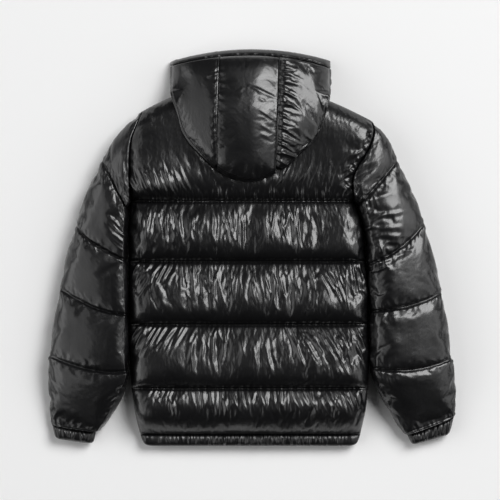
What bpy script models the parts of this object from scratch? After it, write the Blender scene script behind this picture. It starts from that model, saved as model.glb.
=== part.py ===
"""A hooded puffer jacket of padded cloth, lying flat on its front with its back up.

Standalone Blender script: every panel is its own closed object, in metres, +Z up.
The floor is z = 0, the hood points to +Y and the sleeves lie beside the body.
Each panel is a wall: its outer points carry the quilting, its inner side is plain.
All sizes below are in millimetres and are scaled once, when a mesh is made.
"""

import math

import bmesh
import bpy
from mathutils import Matrix

MM = 0.001

# ---------------------------------------------------------------- driving dimensions
SEAM_GAP = 0.3            # clearance between two sewn pieces
MID_PLANE = 40.0          # height where the front and back panels lie on each other
HEM_PLANE = 18.0          # the same height at the hem, where the padding ends
CUFF_PLANE = 17.0         # and at the cuffs
STITCH_LOFT = 10.0        # padding left above the mid plane at a stitch line
CHANNEL_LOFT = 42.0       # padding at the crest of a long channel
LOW_CHANNEL_LOFT = 36.0   # the same in the short channel above the hem
YOKE_LOFT, YOKE_SLOPE = 41.0, 0.09   # at the yoke seam, and its fall towards the neck
FRONT_LOFT = 80.0         # the fronts' padding before the floor flattens it
ARMHOLE_LOFT = 18.0
EDGE_LOFT = 2.0           # thickness left where a rounded side comes to its seam
SIDE_ROUND = 42.0         # how far in from the side the panel reaches its full loft
SHOULDER_ROUND = 34.0
FLOOR_ROUND = 26.0        # the same on the underside, which the floor presses flat
PUCKER = 2.4              # height of the gathers along the back's stitch lines

# Stitch lines of the back, from the hem seam up to the yoke seam
HEM_SEAM, LINE_4, LINE_3, LINE_2, YOKE_SEAM = -402.0, -301.0, -164.0, -29.0, 100.0
STITCH_LINES = (HEM_SEAM, LINE_4, LINE_3, LINE_2, YOKE_SEAM)
HEM_EDGE = -427.0

# Neck: half width, level of the neck points, depth of the back and of the front
NECK_HALF, NECK_POINT, BACK_NECK_DEPTH, FRONT_NECK_DEPTH = 86.0, 343.0, 52.0, 133.4
NECK_ANGLES = (80, 69, 58, 47, 36, 25, 15, 8)

ZIP_HALF = 8.0            # the fronts stop this far from the centre line
ZIP_TOP = 306.0

# Side seams of the body below the armholes
SIDE_SEAMS = (
    # y, left x, right x
    (-402, -240, 233),
    (-380, -246, 238),
    (-350, -252, 244),
    (-301, -259, 249),
    (-232, -263, 251),
    (-164, -264, 249),
    (-92, -265, 249),
    (-29, -264, 244),
    (38, -264, 238),
    (100, -261, 220),
)

# Armholes, from the shoulder point down to the underarm; share of the height, then x
ARMHOLE_LEFT = ((0, -234), (0.17, -247), (0.34, -259), (0.55, -262), (0.77, -262), (1, -261))
ARMHOLE_RIGHT = ((0, 256), (0.14, 260), (0.34, 250), (0.56, 228), (0.74, 216), (1, 220))
SHOULDER_POINT = {-1: (-234.0, 293.0), 1: (256.0, 272.0)}
SHOULDER_ARC = {-1: 38.0, 1: 22.0}     # four times the shoulder line's rise

# The steps shared by the armhole edge of the body and the first ring of the sleeve
RING_STEPS = (0, 0.02, 0.07, 0.16, 0.3, 0.5, 0.7, 0.84, 0.93, 0.98, 1)

# Sleeve rings at the quilt lines: the outer, middle and inner point of each, and how
# far the padding below it pushes out the outer and the inner edge
SLEEVE_LEFT = (
    # outer x, outer y, middle x, middle y, inner x, inner y, outer push, inner push
    (-321, 186, -297, 138, -268, 83, 6, 0),
    (-376, 48, -344, 12, -270, -27, 5, 1),
    (-411, -88, -336, -130, -268, -143, 4, 0.5),
    (-434, -232, -346, -262, -268, -264, 7.5, 13),
    (-429, -384, -382, -391, -336, -397, 0, 0),
)
SLEEVE_RIGHT = (
    (311, 187, 273, 140, 229, 92, 5, -2.5),
    (369, 52, 318, 0, 249, -36, 4, 0.5),
    (406, -95, 343, -123, 254, -137, 4, 0.5),
    (428, -239, 343, -262, 255, -257, 8, 10),
    (434, -366, 385, -386, 335, -403, 0, 0),
)
SLEEVE_CAP_PUSH = {-1: 9.0, 1: 8.0}
SLEEVE_STITCH_LOFT = 14.0
SLEEVE_LOFT = 44.0
CHANNEL_STEPS = (0, 0.07, 0.24, 0.5, 0.76, 0.93)

# Cuffs: the outer and the inner corner of the open end
CUFF_ENDS = {-1: ((-425, -411), (-340, -423)), 1: ((427, -402), (342, -426))}
CUFF_GATHERS, CUFF_LOFT, CUFF_FOLD = 28, 15.0, 0.06
HEM_GATHERS, HEM_LOFT, HEM_FOLD, HEM_TAPER = 54, 12.0, 8.0, 5.5
GATHER = 1.1              # half the height of one gather
BAND_ROWS = (
    # share of the band's width, share of its full loft
    (0, 0.75), (0.33, 1), (0.7, 1), (1, 0.75),
)

# Hood: the folded outline from the left corner round the crown to the right corner
HOOD_OUTLINE = (
    # x, y
    (-176, 400), (-177, 370), (-176, 338), (-173, 322), (-165, 298), (-148, 244),
    (-116, 203), (-75, 166), (-47, 150), (0, 141), (44, 155), (79, 175), (116, 210),
    (144, 244), (162, 298), (168, 322), (170, 338), (171, 370), (170, 396),
)
GUSSET_LEFT = ((406, -69), (326, -72), (238, -75), (166, -74))
GUSSET_RIGHT = ((406, 58), (326, 55), (238, 52), (161, 51))
# Height of the hood's outer layer along its centre line
HOOD_HEIGHTS = (
    # y, z
    (130, 108), (170, 113), (215, 110), (255, 104), (292, 96), (325, 86), (350, 72),
    (372, 52), (392, 33), (412, 20),
)
RIM_SEAM_TOP, RIM_EDGE_TOP = 411.0, 427.0
NAPE_LOFT = 10.0          # padding of the hood's under layer
HOOD_LEAST = 16.0         # least height of the folded hood above what it lies on
HOOD_EDGE_SHARE = 0.36    # height of the folded edge between bed and top
HOOD_ROUND = 48.0
FOLD_WALL = 12.0          # padding left between a folded edge and the plain inside
HOOD_MIDDLE, HOOD_HALF = -8.0, 162.0
HOOD_LEVEL, HOOD_FALL = 62.0, 0.16   # half width of the level top, and its fall beyond
GUSSET_DIP, GUSSET_DIP_WIDTH = 7.0, 12.0
RIM_DROP = {-1: 20.0, 1: 27.0}   # how far the rim's seam falls towards each corner
RIM_EDGE_DROP = 26.0
RIM_HALF = 174.0          # where those drops are reached, from the centre line
RIM_LEFT, RIM_RIGHT, RIM_THICK = -175.5, 169.0, 17.0
RIM_SECTIONS, RIM_SIDES = 14, 8
HOOD_TIP_X = {-1: -75, 1: 79}    # outline point beside which a side panel ends
HOOD_TIP_STEP = {-1: -8.0, 1: -14.0}
CHIN_TOP = 320.0
NECK_TUCK, NECK_TUCK_REACH = 44.0, 8.0   # the gusset's end at the back neck seam
CENTRE_STEPS = (0.01, 0.03, 0.065, 0.115, 0.18, 0.28, 0.4, 0.52, 0.63, 0.72, 0.8, 0.88, 0.94, 1)
SIDE_STEPS = (0.02, 0.07, 0.15, 0.27, 0.42, 0.6, 0.8, 0.92, 1)
SIDE_UNDER_STEPS = (0.04, 0.14, 0.3, 0.6, 1)

# Zip: tapes in the groove between the fronts, the slider and its pull near the floor
ZIP_CENTRE, TAPE_LOW, TAPE_THICK = 0.4, 9.0, 1.6
PULL_AXIS = (0.0, 294.0, 1.3)
SLIDER_HALF, SLIDER_LOW, SLIDER_ENDS = 4.6, 3.4, (-5.0, 9.0)
EAR_INSIDE, EAR_OUTSIDE, EAR_HALF, EAR_LOW, EAR_SINK = 2.6, 3.9, 2.0, 0.3, 0.6
BAR_RADIUS = 0.9
PULL_LENGTH, PULL_HALF, PULL_THICK = 27.0, 2.2, 1.4
GRIP_HALF, GRIP_THICK, GRIP_ENDS = 3.6, 1.8, (-30.0, -9.0)


# ---------------------------------------------------------------- plain helpers
def mix(a, b, share):
    return a + (b - a) * share


def smooth(share):
    share = min(1.0, max(0.0, share))
    return share * share * (3 - 2 * share)


def rounded(share):
    """A quarter circle: 0 at the edge, 1 where the full height is reached."""
    share = min(1.0, max(0.0, share))
    return math.sqrt(1 - (1 - share) ** 2)


def puff(share):
    """The plump profile between two stitch lines, 0 on each and 1 at the crest."""
    share = min(1.0, max(0.0, share))
    return (4 * share * (1 - share)) ** 0.55


def plateau(share):
    """The yoke's profile: plump at its stitch line and neck edge, level between."""
    return rounded(share / 0.24) * rounded((1 - share) / 0.16)


def follow(table, at, column=1):
    """A smooth curve through a table's rows, which rise or fall by their first value."""
    rows = table if table[0][0] < table[-1][0] else table[::-1]
    at = min(max(at, rows[0][0]), rows[-1][0])
    k = next(i for i in range(len(rows) - 1) if at <= rows[i + 1][0])
    before, after = rows[max(k - 1, 0)], rows[min(k + 2, len(rows) - 1)]
    low, high = rows[k], rows[k + 1]
    span = high[0] - low[0]
    slope_low = (high[column] - before[column]) / (high[0] - before[0])
    slope_high = (after[column] - low[column]) / (after[0] - low[0])
    t = (at - low[0]) / span
    return (
        (2 * t**3 - 3 * t**2 + 1) * low[column]
        + (t**3 - 2 * t**2 + t) * span * slope_low
        + (3 * t**2 - 2 * t**3) * high[column]
        + (t**3 - t**2) * span * slope_high
    )


def bow(start, middle, end, share):
    """A point on the parabola through three points of the floor plan."""
    a = (1 - share) * (1 - 2 * share)
    b = 4 * share * (1 - share)
    c = share * (2 * share - 1)
    return tuple(a * p + b * q + c * r for p, q, r in zip(start, middle, end))


# ---------------------------------------------------------------- meshes
def material(name, colour, roughness, metallic=0.0):
    made = bpy.data.materials.get(name) or bpy.data.materials.new(name)
    made.use_nodes = True
    shader = made.node_tree.nodes["Principled BSDF"]
    shader.inputs["Base Color"].default_value = (*colour, 1)
    shader.inputs["Roughness"].default_value = roughness
    shader.inputs["Metallic"].default_value = metallic
    return made


def finish_object(name, bm, collection, finish, origin=(0, 0, 0)):
    """Turns millimetre points, counted from the origin, into an object placed there."""
    bmesh.ops.triangulate(bm, faces=bm.faces)
    bmesh.ops.recalc_face_normals(bm, faces=bm.faces)
    bmesh.ops.scale(bm, vec=(MM, MM, MM), verts=bm.verts)
    mesh = bpy.data.meshes.new(name)
    bm.to_mesh(mesh)
    bm.free()
    mesh.materials.append(finish)
    made = bpy.data.objects.new(name, mesh)
    made.location = [MM * value for value in origin]
    collection.objects.link(made)
    return made


def wall(name, outer, inner, collection, finish, ring=False):
    """Joins a grid of outer points to the matching grid of inner points as one wall.

    outer[row][column] and inner[row][column] are (x, y, z) points. A ring closes each
    row on itself; otherwise the first and last columns are joined along their edges."""
    bm = bmesh.new()
    skin = [[bm.verts.new(p) for p in row] for row in outer]
    lining = [[bm.verts.new(p) for p in row] for row in inner]
    rows, columns = len(skin), len(skin[0])
    last = columns if ring else columns - 1
    for grid in (skin, lining):
        for r in range(rows - 1):
            for c in range(last):
                d = (c + 1) % columns
                bm.faces.new((grid[r][c], grid[r][d], grid[r + 1][d], grid[r + 1][c]))
    for r in (0, rows - 1):
        for c in range(last):
            d = (c + 1) % columns
            bm.faces.new((skin[r][c], skin[r][d], lining[r][d], lining[r][c]))
    if not ring:
        for c in (0, columns - 1):
            for r in range(rows - 1):
                bm.faces.new((skin[r][c], skin[r + 1][c], lining[r + 1][c], lining[r][c]))
    return finish_object(name, bm, collection, finish)


def box_object(name, low, high, collection, finish, origin=(0, 0, 0)):
    """A box between two corners, which are counted from the origin."""
    bm = bmesh.new()
    bmesh.ops.create_cube(bm, size=1.0)
    for vert in bm.verts:
        for axis in range(3):
            vert.co[axis] = high[axis] if vert.co[axis] > 0 else low[axis]
    return finish_object(name, bm, collection, finish, origin)


# ---------------------------------------------------------------- outline of the body
def mid_plane(y):
    """Height of the plane between front and back, which drops at the hem."""
    return mix(HEM_PLANE, MID_PLANE, smooth((y - HEM_SEAM) / 70))


def side_x(side, y):
    """The side seam below the underarm and the armhole above it."""
    if y <= YOKE_SEAM:
        return follow(SIDE_SEAMS, y, 1 if side < 0 else 2)
    top = SHOULDER_POINT[side][1]
    table = ARMHOLE_LEFT if side < 0 else ARMHOLE_RIGHT
    return follow(table, (top - y) / (top - YOKE_SEAM))


def armhole_x(side, share):
    """The armhole seam as the straight chords that body and sleeve both follow."""
    top = SHOULDER_POINT[side][1]
    k = max(i for i, step in enumerate(RING_STEPS[:-1]) if share >= step)
    low, high = RING_STEPS[k], RING_STEPS[k + 1]
    ends = [side_x(side, mix(top, YOKE_SEAM, step)) for step in (low, high)]
    return mix(*ends, (share - low) / (high - low))


def top_y(x, neck_depth):
    """The shoulder lines and, between the neck points, the neckline."""
    if abs(x) < NECK_HALF:
        return NECK_POINT - neck_depth * math.sqrt(1 - (x / NECK_HALF) ** 2)
    side = -1 if x < 0 else 1
    end_x, end_y = SHOULDER_POINT[side]
    share = (abs(x) - NECK_HALF) / (abs(end_x) - NECK_HALF)
    return mix(NECK_POINT, end_y, share) + SHOULDER_ARC[side] * share * (1 - share)


def body_point(side, share, level, neck_depth):
    """Plan of a body point: share runs from the neck point column (0) out to the side
    (1), or is an x inside the neck; level counts stitch lines, above 4 in the yoke."""
    k = min(int(level), len(STITCH_LINES) - 1)
    if level < len(STITCH_LINES) - 1:
        y = mix(STITCH_LINES[k], STITCH_LINES[k + 1], level - k)
        top = None
    else:
        y = None
        top = level - k
    if side == 0:
        x = share
        if y is None:
            y = mix(YOKE_SEAM, top_y(x, neck_depth), top)
        return x, y
    if y is None:
        end_x, end_y = SHOULDER_POINT[side]
        top_x = side * mix(NECK_HALF, abs(end_x), share)
        y = mix(YOKE_SEAM, top_y(top_x, neck_depth), top)
        edge_y = mix(YOKE_SEAM, end_y, top)
        edge = abs(side_x(side, edge_y))
    else:
        edge = abs(side_x(side, y))
    return side * mix(NECK_HALF, edge, share), y


def armhole_edge(side, y):
    """Thickness left at the armhole seam, none at the underarm and the shoulder point."""
    top = SHOULDER_POINT[side][1]
    ends = rounded((y - YOKE_SEAM) / SIDE_ROUND) * rounded((top - y) / SIDE_ROUND)
    return EDGE_LOFT + (ARMHOLE_LOFT - EDGE_LOFT) * ends


# ---------------------------------------------------------------- back
def yoke_crest(y):
    return YOKE_LOFT - YOKE_SLOPE * (y - YOKE_SEAM)


def back_padding(x, y):
    """Padding of the back above the mid plane, before its sides are rounded off."""
    if y >= YOKE_SEAM:
        share = (y - YOKE_SEAM) / (top_y(x, BACK_NECK_DEPTH) - YOKE_SEAM)
        return STITCH_LOFT + (yoke_crest(y) - STITCH_LOFT) * plateau(share)
    k = max(i for i, line in enumerate(STITCH_LINES) if y >= line)
    share = (y - STITCH_LINES[k]) / (STITCH_LINES[k + 1] - STITCH_LINES[k])
    crest = LOW_CHANNEL_LOFT if k == 0 else CHANNEL_LOFT
    return STITCH_LOFT + (crest - STITCH_LOFT) * puff(share)


def back_height(x, y):
    side = -1 if x < 0 else 1
    inset = abs(side_x(side, min(y, SHOULDER_POINT[side][1]))) - abs(x)
    edge = armhole_edge(side, y) if y > YOKE_SEAM else EDGE_LOFT
    loft = edge + (back_padding(x, y) - edge) * rounded(inset / SIDE_ROUND)
    if abs(x) > NECK_HALF:
        below_shoulder = top_y(x, BACK_NECK_DEPTH) - y
        loft = EDGE_LOFT + (loft - EDGE_LOFT) * rounded(below_shoulder / SHOULDER_ROUND)
    return mid_plane(y) + SEAM_GAP / 2 + loft


def pucker(level, column):
    """Gathers along the stitch lines: strong below a line, weak above it."""
    share = level - int(level)
    if level >= len(STITCH_LINES) - 1:
        reach = 1 - smooth(share / 0.3)
    else:
        reach = max(0.35 * (1 - smooth(share / 0.3)), smooth((share - 0.3) / 0.5))
    turn = 1 if (column + int(level)) % 2 else -1
    return turn * PUCKER * reach


def body_levels():
    """The rows of the body panels, as stitch line numbers and shares between them."""
    steps = (0, 0.06, 0.24, 0.5, 0.76, 0.94)
    levels = [k + step for k in range(len(STITCH_LINES) - 1) for step in steps]
    yoke = [len(STITCH_LINES) - 1 + (1 - step) for step in RING_STEPS[::-1]]
    return levels + yoke


SIDE_SHARES = (1, 0.985, 0.95, 0.9, 0.84, 0.77, 0.7, 0.63, 0.56, 0.49, 0.42, 0.35, 0.28,
               0.21, 0.14, 0.07, 0)
BACK_NECK_COLUMNS = 7


def make_back(collection, finish):
    count = BACK_NECK_COLUMNS
    columns = [(-1, s) for s in SIDE_SHARES]
    columns += [(0, NECK_HALF * k / count) for k in range(1 - count, count)]
    columns += [(1, s) for s in SIDE_SHARES[::-1]]
    outer, inner = [], []
    for level in body_levels():
        skin, lining = [], []
        for number, (side, share) in enumerate(columns):
            x, y = body_point(side, share, level, BACK_NECK_DEPTH)
            z = back_height(x, y)
            if side == 0 or share < 0.8:
                z += pucker(level, number)
            skin.append((x, y, z))
            lining.append((x, y, mid_plane(y) + SEAM_GAP / 2))
        outer.append(skin)
        inner.append(lining)
    return wall("back", outer, inner, collection, finish)


# ---------------------------------------------------------------- fronts
def front_depth(side, x, y):
    """Height of the front's outer side, pressed flat on the floor between its seams."""
    plane = mid_plane(y) - SEAM_GAP / 2
    if y >= YOKE_SEAM:
        share = (y - YOKE_SEAM) / (top_y(x, FRONT_NECK_DEPTH) - YOKE_SEAM)
    else:
        k = max(i for i, line in enumerate(STITCH_LINES) if y >= line)
        share = (y - STITCH_LINES[k]) / (STITCH_LINES[k + 1] - STITCH_LINES[k])
    loft = min(plane, STITCH_LOFT + FRONT_LOFT * puff(share))
    inset = abs(side_x(side, min(y, SHOULDER_POINT[side][1]))) - abs(x)
    edge = armhole_edge(side, y) if y > YOKE_SEAM else EDGE_LOFT
    loft = edge + (loft - edge) * rounded(inset / FLOOR_ROUND)
    if abs(x) > NECK_HALF:
        below_shoulder = top_y(x, FRONT_NECK_DEPTH) - y
        loft = EDGE_LOFT + (loft - EDGE_LOFT) * rounded(below_shoulder / FLOOR_ROUND)
    return max(0.0, plane - loft)


def make_front(side, collection, finish):
    neck = [NECK_HALF * math.sin(math.radians(a)) for a in NECK_ANGLES]
    columns = [(side, s) for s in (1, 0.985, 0.94, 0.87, 0.6, 0.3, 0.1, 0)]
    columns += [(0, side * x) for x in neck] + [(0, side * ZIP_HALF)]
    outer, inner = [], []
    for level in body_levels():
        skin, lining = [], []
        for part, share in columns:
            x, y = body_point(part, share, level, FRONT_NECK_DEPTH)
            skin.append((x, y, front_depth(side, x, y)))
            lining.append((x, y, mid_plane(y) - SEAM_GAP / 2))
        outer.append(skin)
        inner.append(lining)
    name = "front_left" if side < 0 else "front_right"
    return wall(name, outer, inner, collection, finish)


def make_chin(side, collection, finish):
    """The hood's front neck piece, inside the neckline and beside the zip."""
    outer, inner = [], []
    for angle in NECK_ANGLES:
        turn = math.radians(angle)
        y = NECK_POINT - FRONT_NECK_DEPTH * math.cos(turn) + SEAM_GAP
        reach = NECK_HALF * math.sin(turn) - SEAM_GAP
        plane = MID_PLANE - SEAM_GAP / 2
        skin, lining = [], []
        for share in (0, 0.15, 0.5, 0.85, 1):
            x = mix(ZIP_HALF, reach, share)
            edges = rounded((reach - x) / FLOOR_ROUND)
            ends = rounded((CHIN_TOP + 0.5 - y) / FLOOR_ROUND)
            loft = STITCH_LOFT + (plane - STITCH_LOFT) * edges * ends
            skin.append((side * x, y, plane - loft))
            lining.append((side * x, y, plane))
        outer.append(skin)
        inner.append(lining)
    name = "chin_left" if side < 0 else "chin_right"
    return wall(name, outer, inner, collection, finish)


# ---------------------------------------------------------------- sleeves
def sleeve_rows():
    """The sleeve's rings from the armhole (0) to the cuff seam (5), with channel shares."""
    return [k + step for k in range(5) for step in CHANNEL_STEPS] + [5.0]


def sleeve_plan(side, level, share):
    """Plan of a sleeve point: level counts rings from the armhole, share runs across
    the sleeve from its outer edge to its inner edge."""
    table = SLEEVE_LEFT if side < 0 else SLEEVE_RIGHT
    k = min(int(level), 4)
    part = level - k

    def on_ring(number):
        if number == 0:
            y = mix(SHOULDER_POINT[side][1], YOKE_SEAM, share)
            return armhole_x(side, share) + side * SEAM_GAP, y
        row = table[number - 1]
        return bow(row[0:2], row[2:4], row[4:6], share)

    start, end = on_ring(k), on_ring(k + 1)
    x, y = mix(start[0], end[0], part), mix(start[1], end[1], part)
    push_out = SLEEVE_CAP_PUSH[side] if k == 0 else table[k - 1][6]
    push_in = 0.0 if k == 0 else table[k - 1][7]
    swell = 4 * part * (1 - part)
    reach = mix(push_out, -push_in, share) * swell
    return x + side * reach, y + 0.4 * reach


def sleeve_plane(level):
    return mix(MID_PLANE, CUFF_PLANE, smooth(level - 4.0))


def sleeve_loft(level, crest):
    """Padding of the sleeve above and below its mid plane."""
    k = min(int(level), 4)
    stitch = ARMHOLE_LOFT if level == 0 else SLEEVE_STITCH_LOFT
    return stitch + (crest - stitch) * puff(level - k)


def lining_share(share, fold):
    """The same step on the sleeve's inner side, which folds short of the outer edge."""
    if share > 0.5:
        return 1 - lining_share(1 - share, fold)
    return mix(fold, RING_STEPS[3], share / RING_STEPS[3]) if share < RING_STEPS[3] else share


def make_sleeve(side, collection, finish):
    outer, inner = [], []
    for level in sleeve_rows():
        plane = sleeve_plane(level)
        ends = [sleeve_plan(side, level, s) for s in (0, 1)]
        width = math.dist(*ends)
        top_loft = sleeve_loft(level, SLEEVE_LOFT * plane / MID_PLANE)
        low_loft = min(plane, sleeve_loft(level, FRONT_LOFT))
        skin, lining = [], []
        going = [(s, 1) for s in RING_STEPS] + [(s, -1) for s in RING_STEPS[-2:0:-1]]
        for share, way in going:
            x, y = sleeve_plan(side, level, share)
            inset = min(share, 1 - share) * width
            if way > 0:
                z = plane + top_loft * rounded(inset / SIDE_ROUND)
            else:
                z = max(0.0, plane - low_loft * rounded(inset / FLOOR_ROUND))
            skin.append((x, y, z))
            x, y = sleeve_plan(side, level, lining_share(share, FOLD_WALL / width))
            at_fold = share in (0, 1)
            lining.append((x, y, plane + (0 if at_fold else way * SEAM_GAP)))
        outer.append(skin)
        inner.append(lining)
    name = "sleeve_left" if side < 0 else "sleeve_right"
    return wall(name, outer, inner, collection, finish, ring=True)


# ---------------------------------------------------------------- gathered bands
def band_height(share, loft, plane, way, width, gather):
    """Height of a flattened band's outer side, rounded where it folds at its ends."""
    inset = min(share, 1 - share) * width
    bulge = rounded(inset / (1.3 * loft))
    return max(0.0, plane + way * (loft * bulge + gather))


def make_cuff(side, collection, finish):
    """A flattened tube from the sleeve's last ring down to its open end."""
    outer_corner, inner_corner = CUFF_ENDS[side]

    def plan(share, down):
        top = sleeve_plan(side, len(SLEEVE_LEFT), share)
        x = mix(top[0], mix(outer_corner[0], inner_corner[0], share), down)
        y = mix(top[1] - SEAM_GAP, mix(outer_corner[1], inner_corner[1], share), down)
        return x, y

    count = CUFF_GATHERS
    outer, inner = [], []
    for down, full in BAND_ROWS:
        width = math.dist(plan(0, down), plan(1, down))
        skin, lining = [], []
        for step in range(2 * count):
            turn = 2 * math.pi * step / (2 * count)
            share = 0.5 - 0.5 * math.cos(turn)
            way = 1 if step <= count else -1
            gather = (GATHER if step % 2 else -GATHER) * (0 if share in (0, 1) else 1)
            z = band_height(share, CUFF_LOFT * full, CUFF_PLANE, way, width, gather)
            skin.append((*plan(share, down), z))
            fold = step in (0, count)
            z = CUFF_PLANE + (0 if fold else way * SEAM_GAP)
            lining.append((*plan(mix(CUFF_FOLD, 1 - CUFF_FOLD, share), down), z))
        outer.append(skin)
        inner.append(lining)
    name = "cuff_left" if side < 0 else "cuff_right"
    return wall(name, outer, inner, collection, finish, ring=True)


def make_hem_band(collection, finish):
    """A flattened loop under and over the body, open where the zip ends."""
    outer, inner = [], []
    top, end = HEM_SEAM - SEAM_GAP, HEM_EDGE
    steps = 2 * HEM_GATHERS
    for down, full in BAND_ROWS:
        y = mix(top, end, down)
        left = side_x(-1, HEM_SEAM) + HEM_TAPER * down
        right = side_x(1, HEM_SEAM) - HEM_TAPER * down
        centre, half = (left + right) / 2, (right - left) / 2
        skin, lining = [], []
        for step in range(steps + 1):
            # the loop's length counted from the zip round the left side and back
            travel = step / steps * 4 - 1
            if travel <= 0:
                x, way = mix(-ZIP_HALF, left, travel + 1), -1
            elif travel <= 2:
                x, way = mix(left, right, travel / 2), 1
            else:
                x, way = mix(right, ZIP_HALF, travel - 2), -1
            share = (x - centre) / (2 * half) + 0.5
            fold = abs(share - round(share)) < 1e-6
            gather = 0 if fold else (GATHER if step % 2 else -GATHER)
            width = 2 * half
            loft = HEM_LOFT if way > 0 else HEM_PLANE
            z = band_height(share, loft * full, HEM_PLANE, way, width, gather)
            skin.append((x, y, z))
            inside = centre + (x - centre) * (1 - HEM_FOLD / half)
            inside = x if abs(x) <= ZIP_HALF + 1e-6 else inside
            lining.append((inside, y, HEM_PLANE + (0 if fold else way * SEAM_GAP)))
        outer.append(skin)
        inner.append(lining)
    return wall("hem_band", outer, inner, collection, finish)


# ---------------------------------------------------------------- hood
def outline_runs():
    """Length along the hood's folded outline at each of its points."""
    runs = [0.0]
    for a, b in zip(HOOD_OUTLINE, HOOD_OUTLINE[1:]):
        runs.append(runs[-1] + math.dist(a, b))
    return runs


def outline_point(run):
    table = [(length, *point) for length, point in zip(outline_runs(), HOOD_OUTLINE)]
    return follow(table, run, 1), follow(table, run, 2)


def outline_inset(x, y):
    """Distance from a plan point to the hood's folded outline."""
    best = math.inf
    for (ax, ay), (bx, by) in zip(HOOD_OUTLINE, HOOD_OUTLINE[1:]):
        dot = (x - ax) * (bx - ax) + (y - ay) * (by - ay)
        t = min(1.0, max(0.0, dot / ((bx - ax) ** 2 + (by - ay) ** 2)))
        best = min(best, math.dist((x, y), (mix(ax, bx, t), mix(ay, by, t))))
    return best


def hood_bed(x, y):
    """What the hood lies on: the level yoke, and past the shoulder line the floor."""
    past = y - (NECK_POINT if abs(x) < NECK_HALF else top_y(x, BACK_NECK_DEPTH))
    level = MID_PLANE + SEAM_GAP / 2 + yoke_crest(y) + 2 * SEAM_GAP
    return level * (1 - smooth((past - 4) / 28))


def hood_crest(x, y):
    """The hood's outer side before its folded edge is rounded off."""
    z = follow(HOOD_HEIGHTS, y)
    for seam in (GUSSET_LEFT, GUSSET_RIGHT):
        z -= GUSSET_DIP * math.exp(-(((x - follow(seam, y)) / GUSSET_DIP_WIDTH) ** 2))
    spread = max(0.0, abs(x - HOOD_MIDDLE) - HOOD_LEVEL) / (HOOD_HALF - HOOD_LEVEL)
    return z * (1 - HOOD_FALL * spread**2)


def hood_layers(x, y):
    """Heights of the hood's under side, of the slit between its layers, of its top and
    of its folded edge, at one plan point."""
    inset = outline_inset(x, y)
    low = hood_bed(x, y)
    high = max(hood_crest(x, y), low + HOOD_LEAST)
    edge = mix(low, high, HOOD_EDGE_SHARE)
    bottom = edge - (edge - low) * rounded(inset / FLOOR_ROUND)
    top = edge + (high - edge) * rounded(inset / HOOD_ROUND)
    slit = bottom + min(NAPE_LOFT, 0.4 * (top - bottom))
    return bottom, slit, top, edge


def folded_row(plan, top_steps, under_steps, length, slit_floor=None):
    """Outer and inner points of one row of the hood: over the top towards the folded
    edge (step 0), round it and back below. plan(step) gives the floor point."""
    squeeze = min(FOLD_WALL / length, 0.5)
    skin, lining = [], []
    for steps, way in ((top_steps[::-1], 1), ((0,), 0), (under_steps, -1)):
        for step in steps:
            x, y = plan(step)
            bottom, _, top, edge = hood_layers(x, y)
            skin.append((x, y, (bottom, edge, top)[way + 1]))
            x, y = plan(mix(squeeze, 1, step))
            slit = hood_layers(x, y)[1]
            if slit_floor and way > 0:
                slit = slit_floor(x, y, slit)
            lining.append((x, y, slit + way * SEAM_GAP))
    return skin, lining


def rim_seam_y(x):
    drop = RIM_DROP[-1] if x < 0 else RIM_DROP[1]
    return RIM_SEAM_TOP - drop * (x / RIM_HALF) ** 2


def make_hood_centre(collection, finish):
    """The gusset: from the rim over the crown and back under itself to the neck seam."""
    outer, inner = [], []
    crown = [p for p in HOOD_OUTLINE if HOOD_TIP_X[-1] <= p[0] <= HOOD_TIP_X[1]]
    for share in (0, 0.1, 0.3, 0.5, 0.7, 0.9, 1):
        edge_x = mix(GUSSET_LEFT[-1][1], GUSSET_RIGHT[-1][1], share)
        edge_y = follow(crown, edge_x)

        def seam_x(y):
            return mix(
                follow(GUSSET_LEFT, y) + SEAM_GAP, follow(GUSSET_RIGHT, y) - SEAM_GAP, share
            )

        rim_y = rim_seam_y(seam_x(RIM_SEAM_TOP)) - SEAM_GAP
        neck_y = top_y(seam_x(NECK_POINT), BACK_NECK_DEPTH) - 10 * SEAM_GAP
        reach = rim_y - edge_y

        def plan(step):
            y = edge_y + reach * step
            return seam_x(y), y

        under_end = (neck_y - edge_y) / reach
        under = [under_end * s for s in (0.02, 0.08, 0.2, 0.4, 0.7, 1)]
        skin, lining = folded_row(plan, CENTRE_STEPS, under, reach, centre_slit)
        tuck = plan((neck_y + NECK_TUCK_REACH - edge_y) / reach)
        skin.append((*tuck, NECK_TUCK))
        lining.append((*tuck, NECK_TUCK + NAPE_LOFT))
        outer.append(skin)
        inner.append(lining)
    return wall("hood_centre", outer, inner, collection, finish)


def centre_slit(x, y, slit):
    """Over the neck opening the gusset's inner side sinks to the floor, past the chin."""
    edge_y = top_y(x, BACK_NECK_DEPTH)
    if y < edge_y - 6:
        return slit
    clear = (MID_PLANE + 5) * (1 - smooth((y - CHIN_TOP - 3) / 26)) + 2 * SEAM_GAP
    lying = slit * (1 - smooth((y - edge_y) / 20))
    return max(clear, lying)


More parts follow.
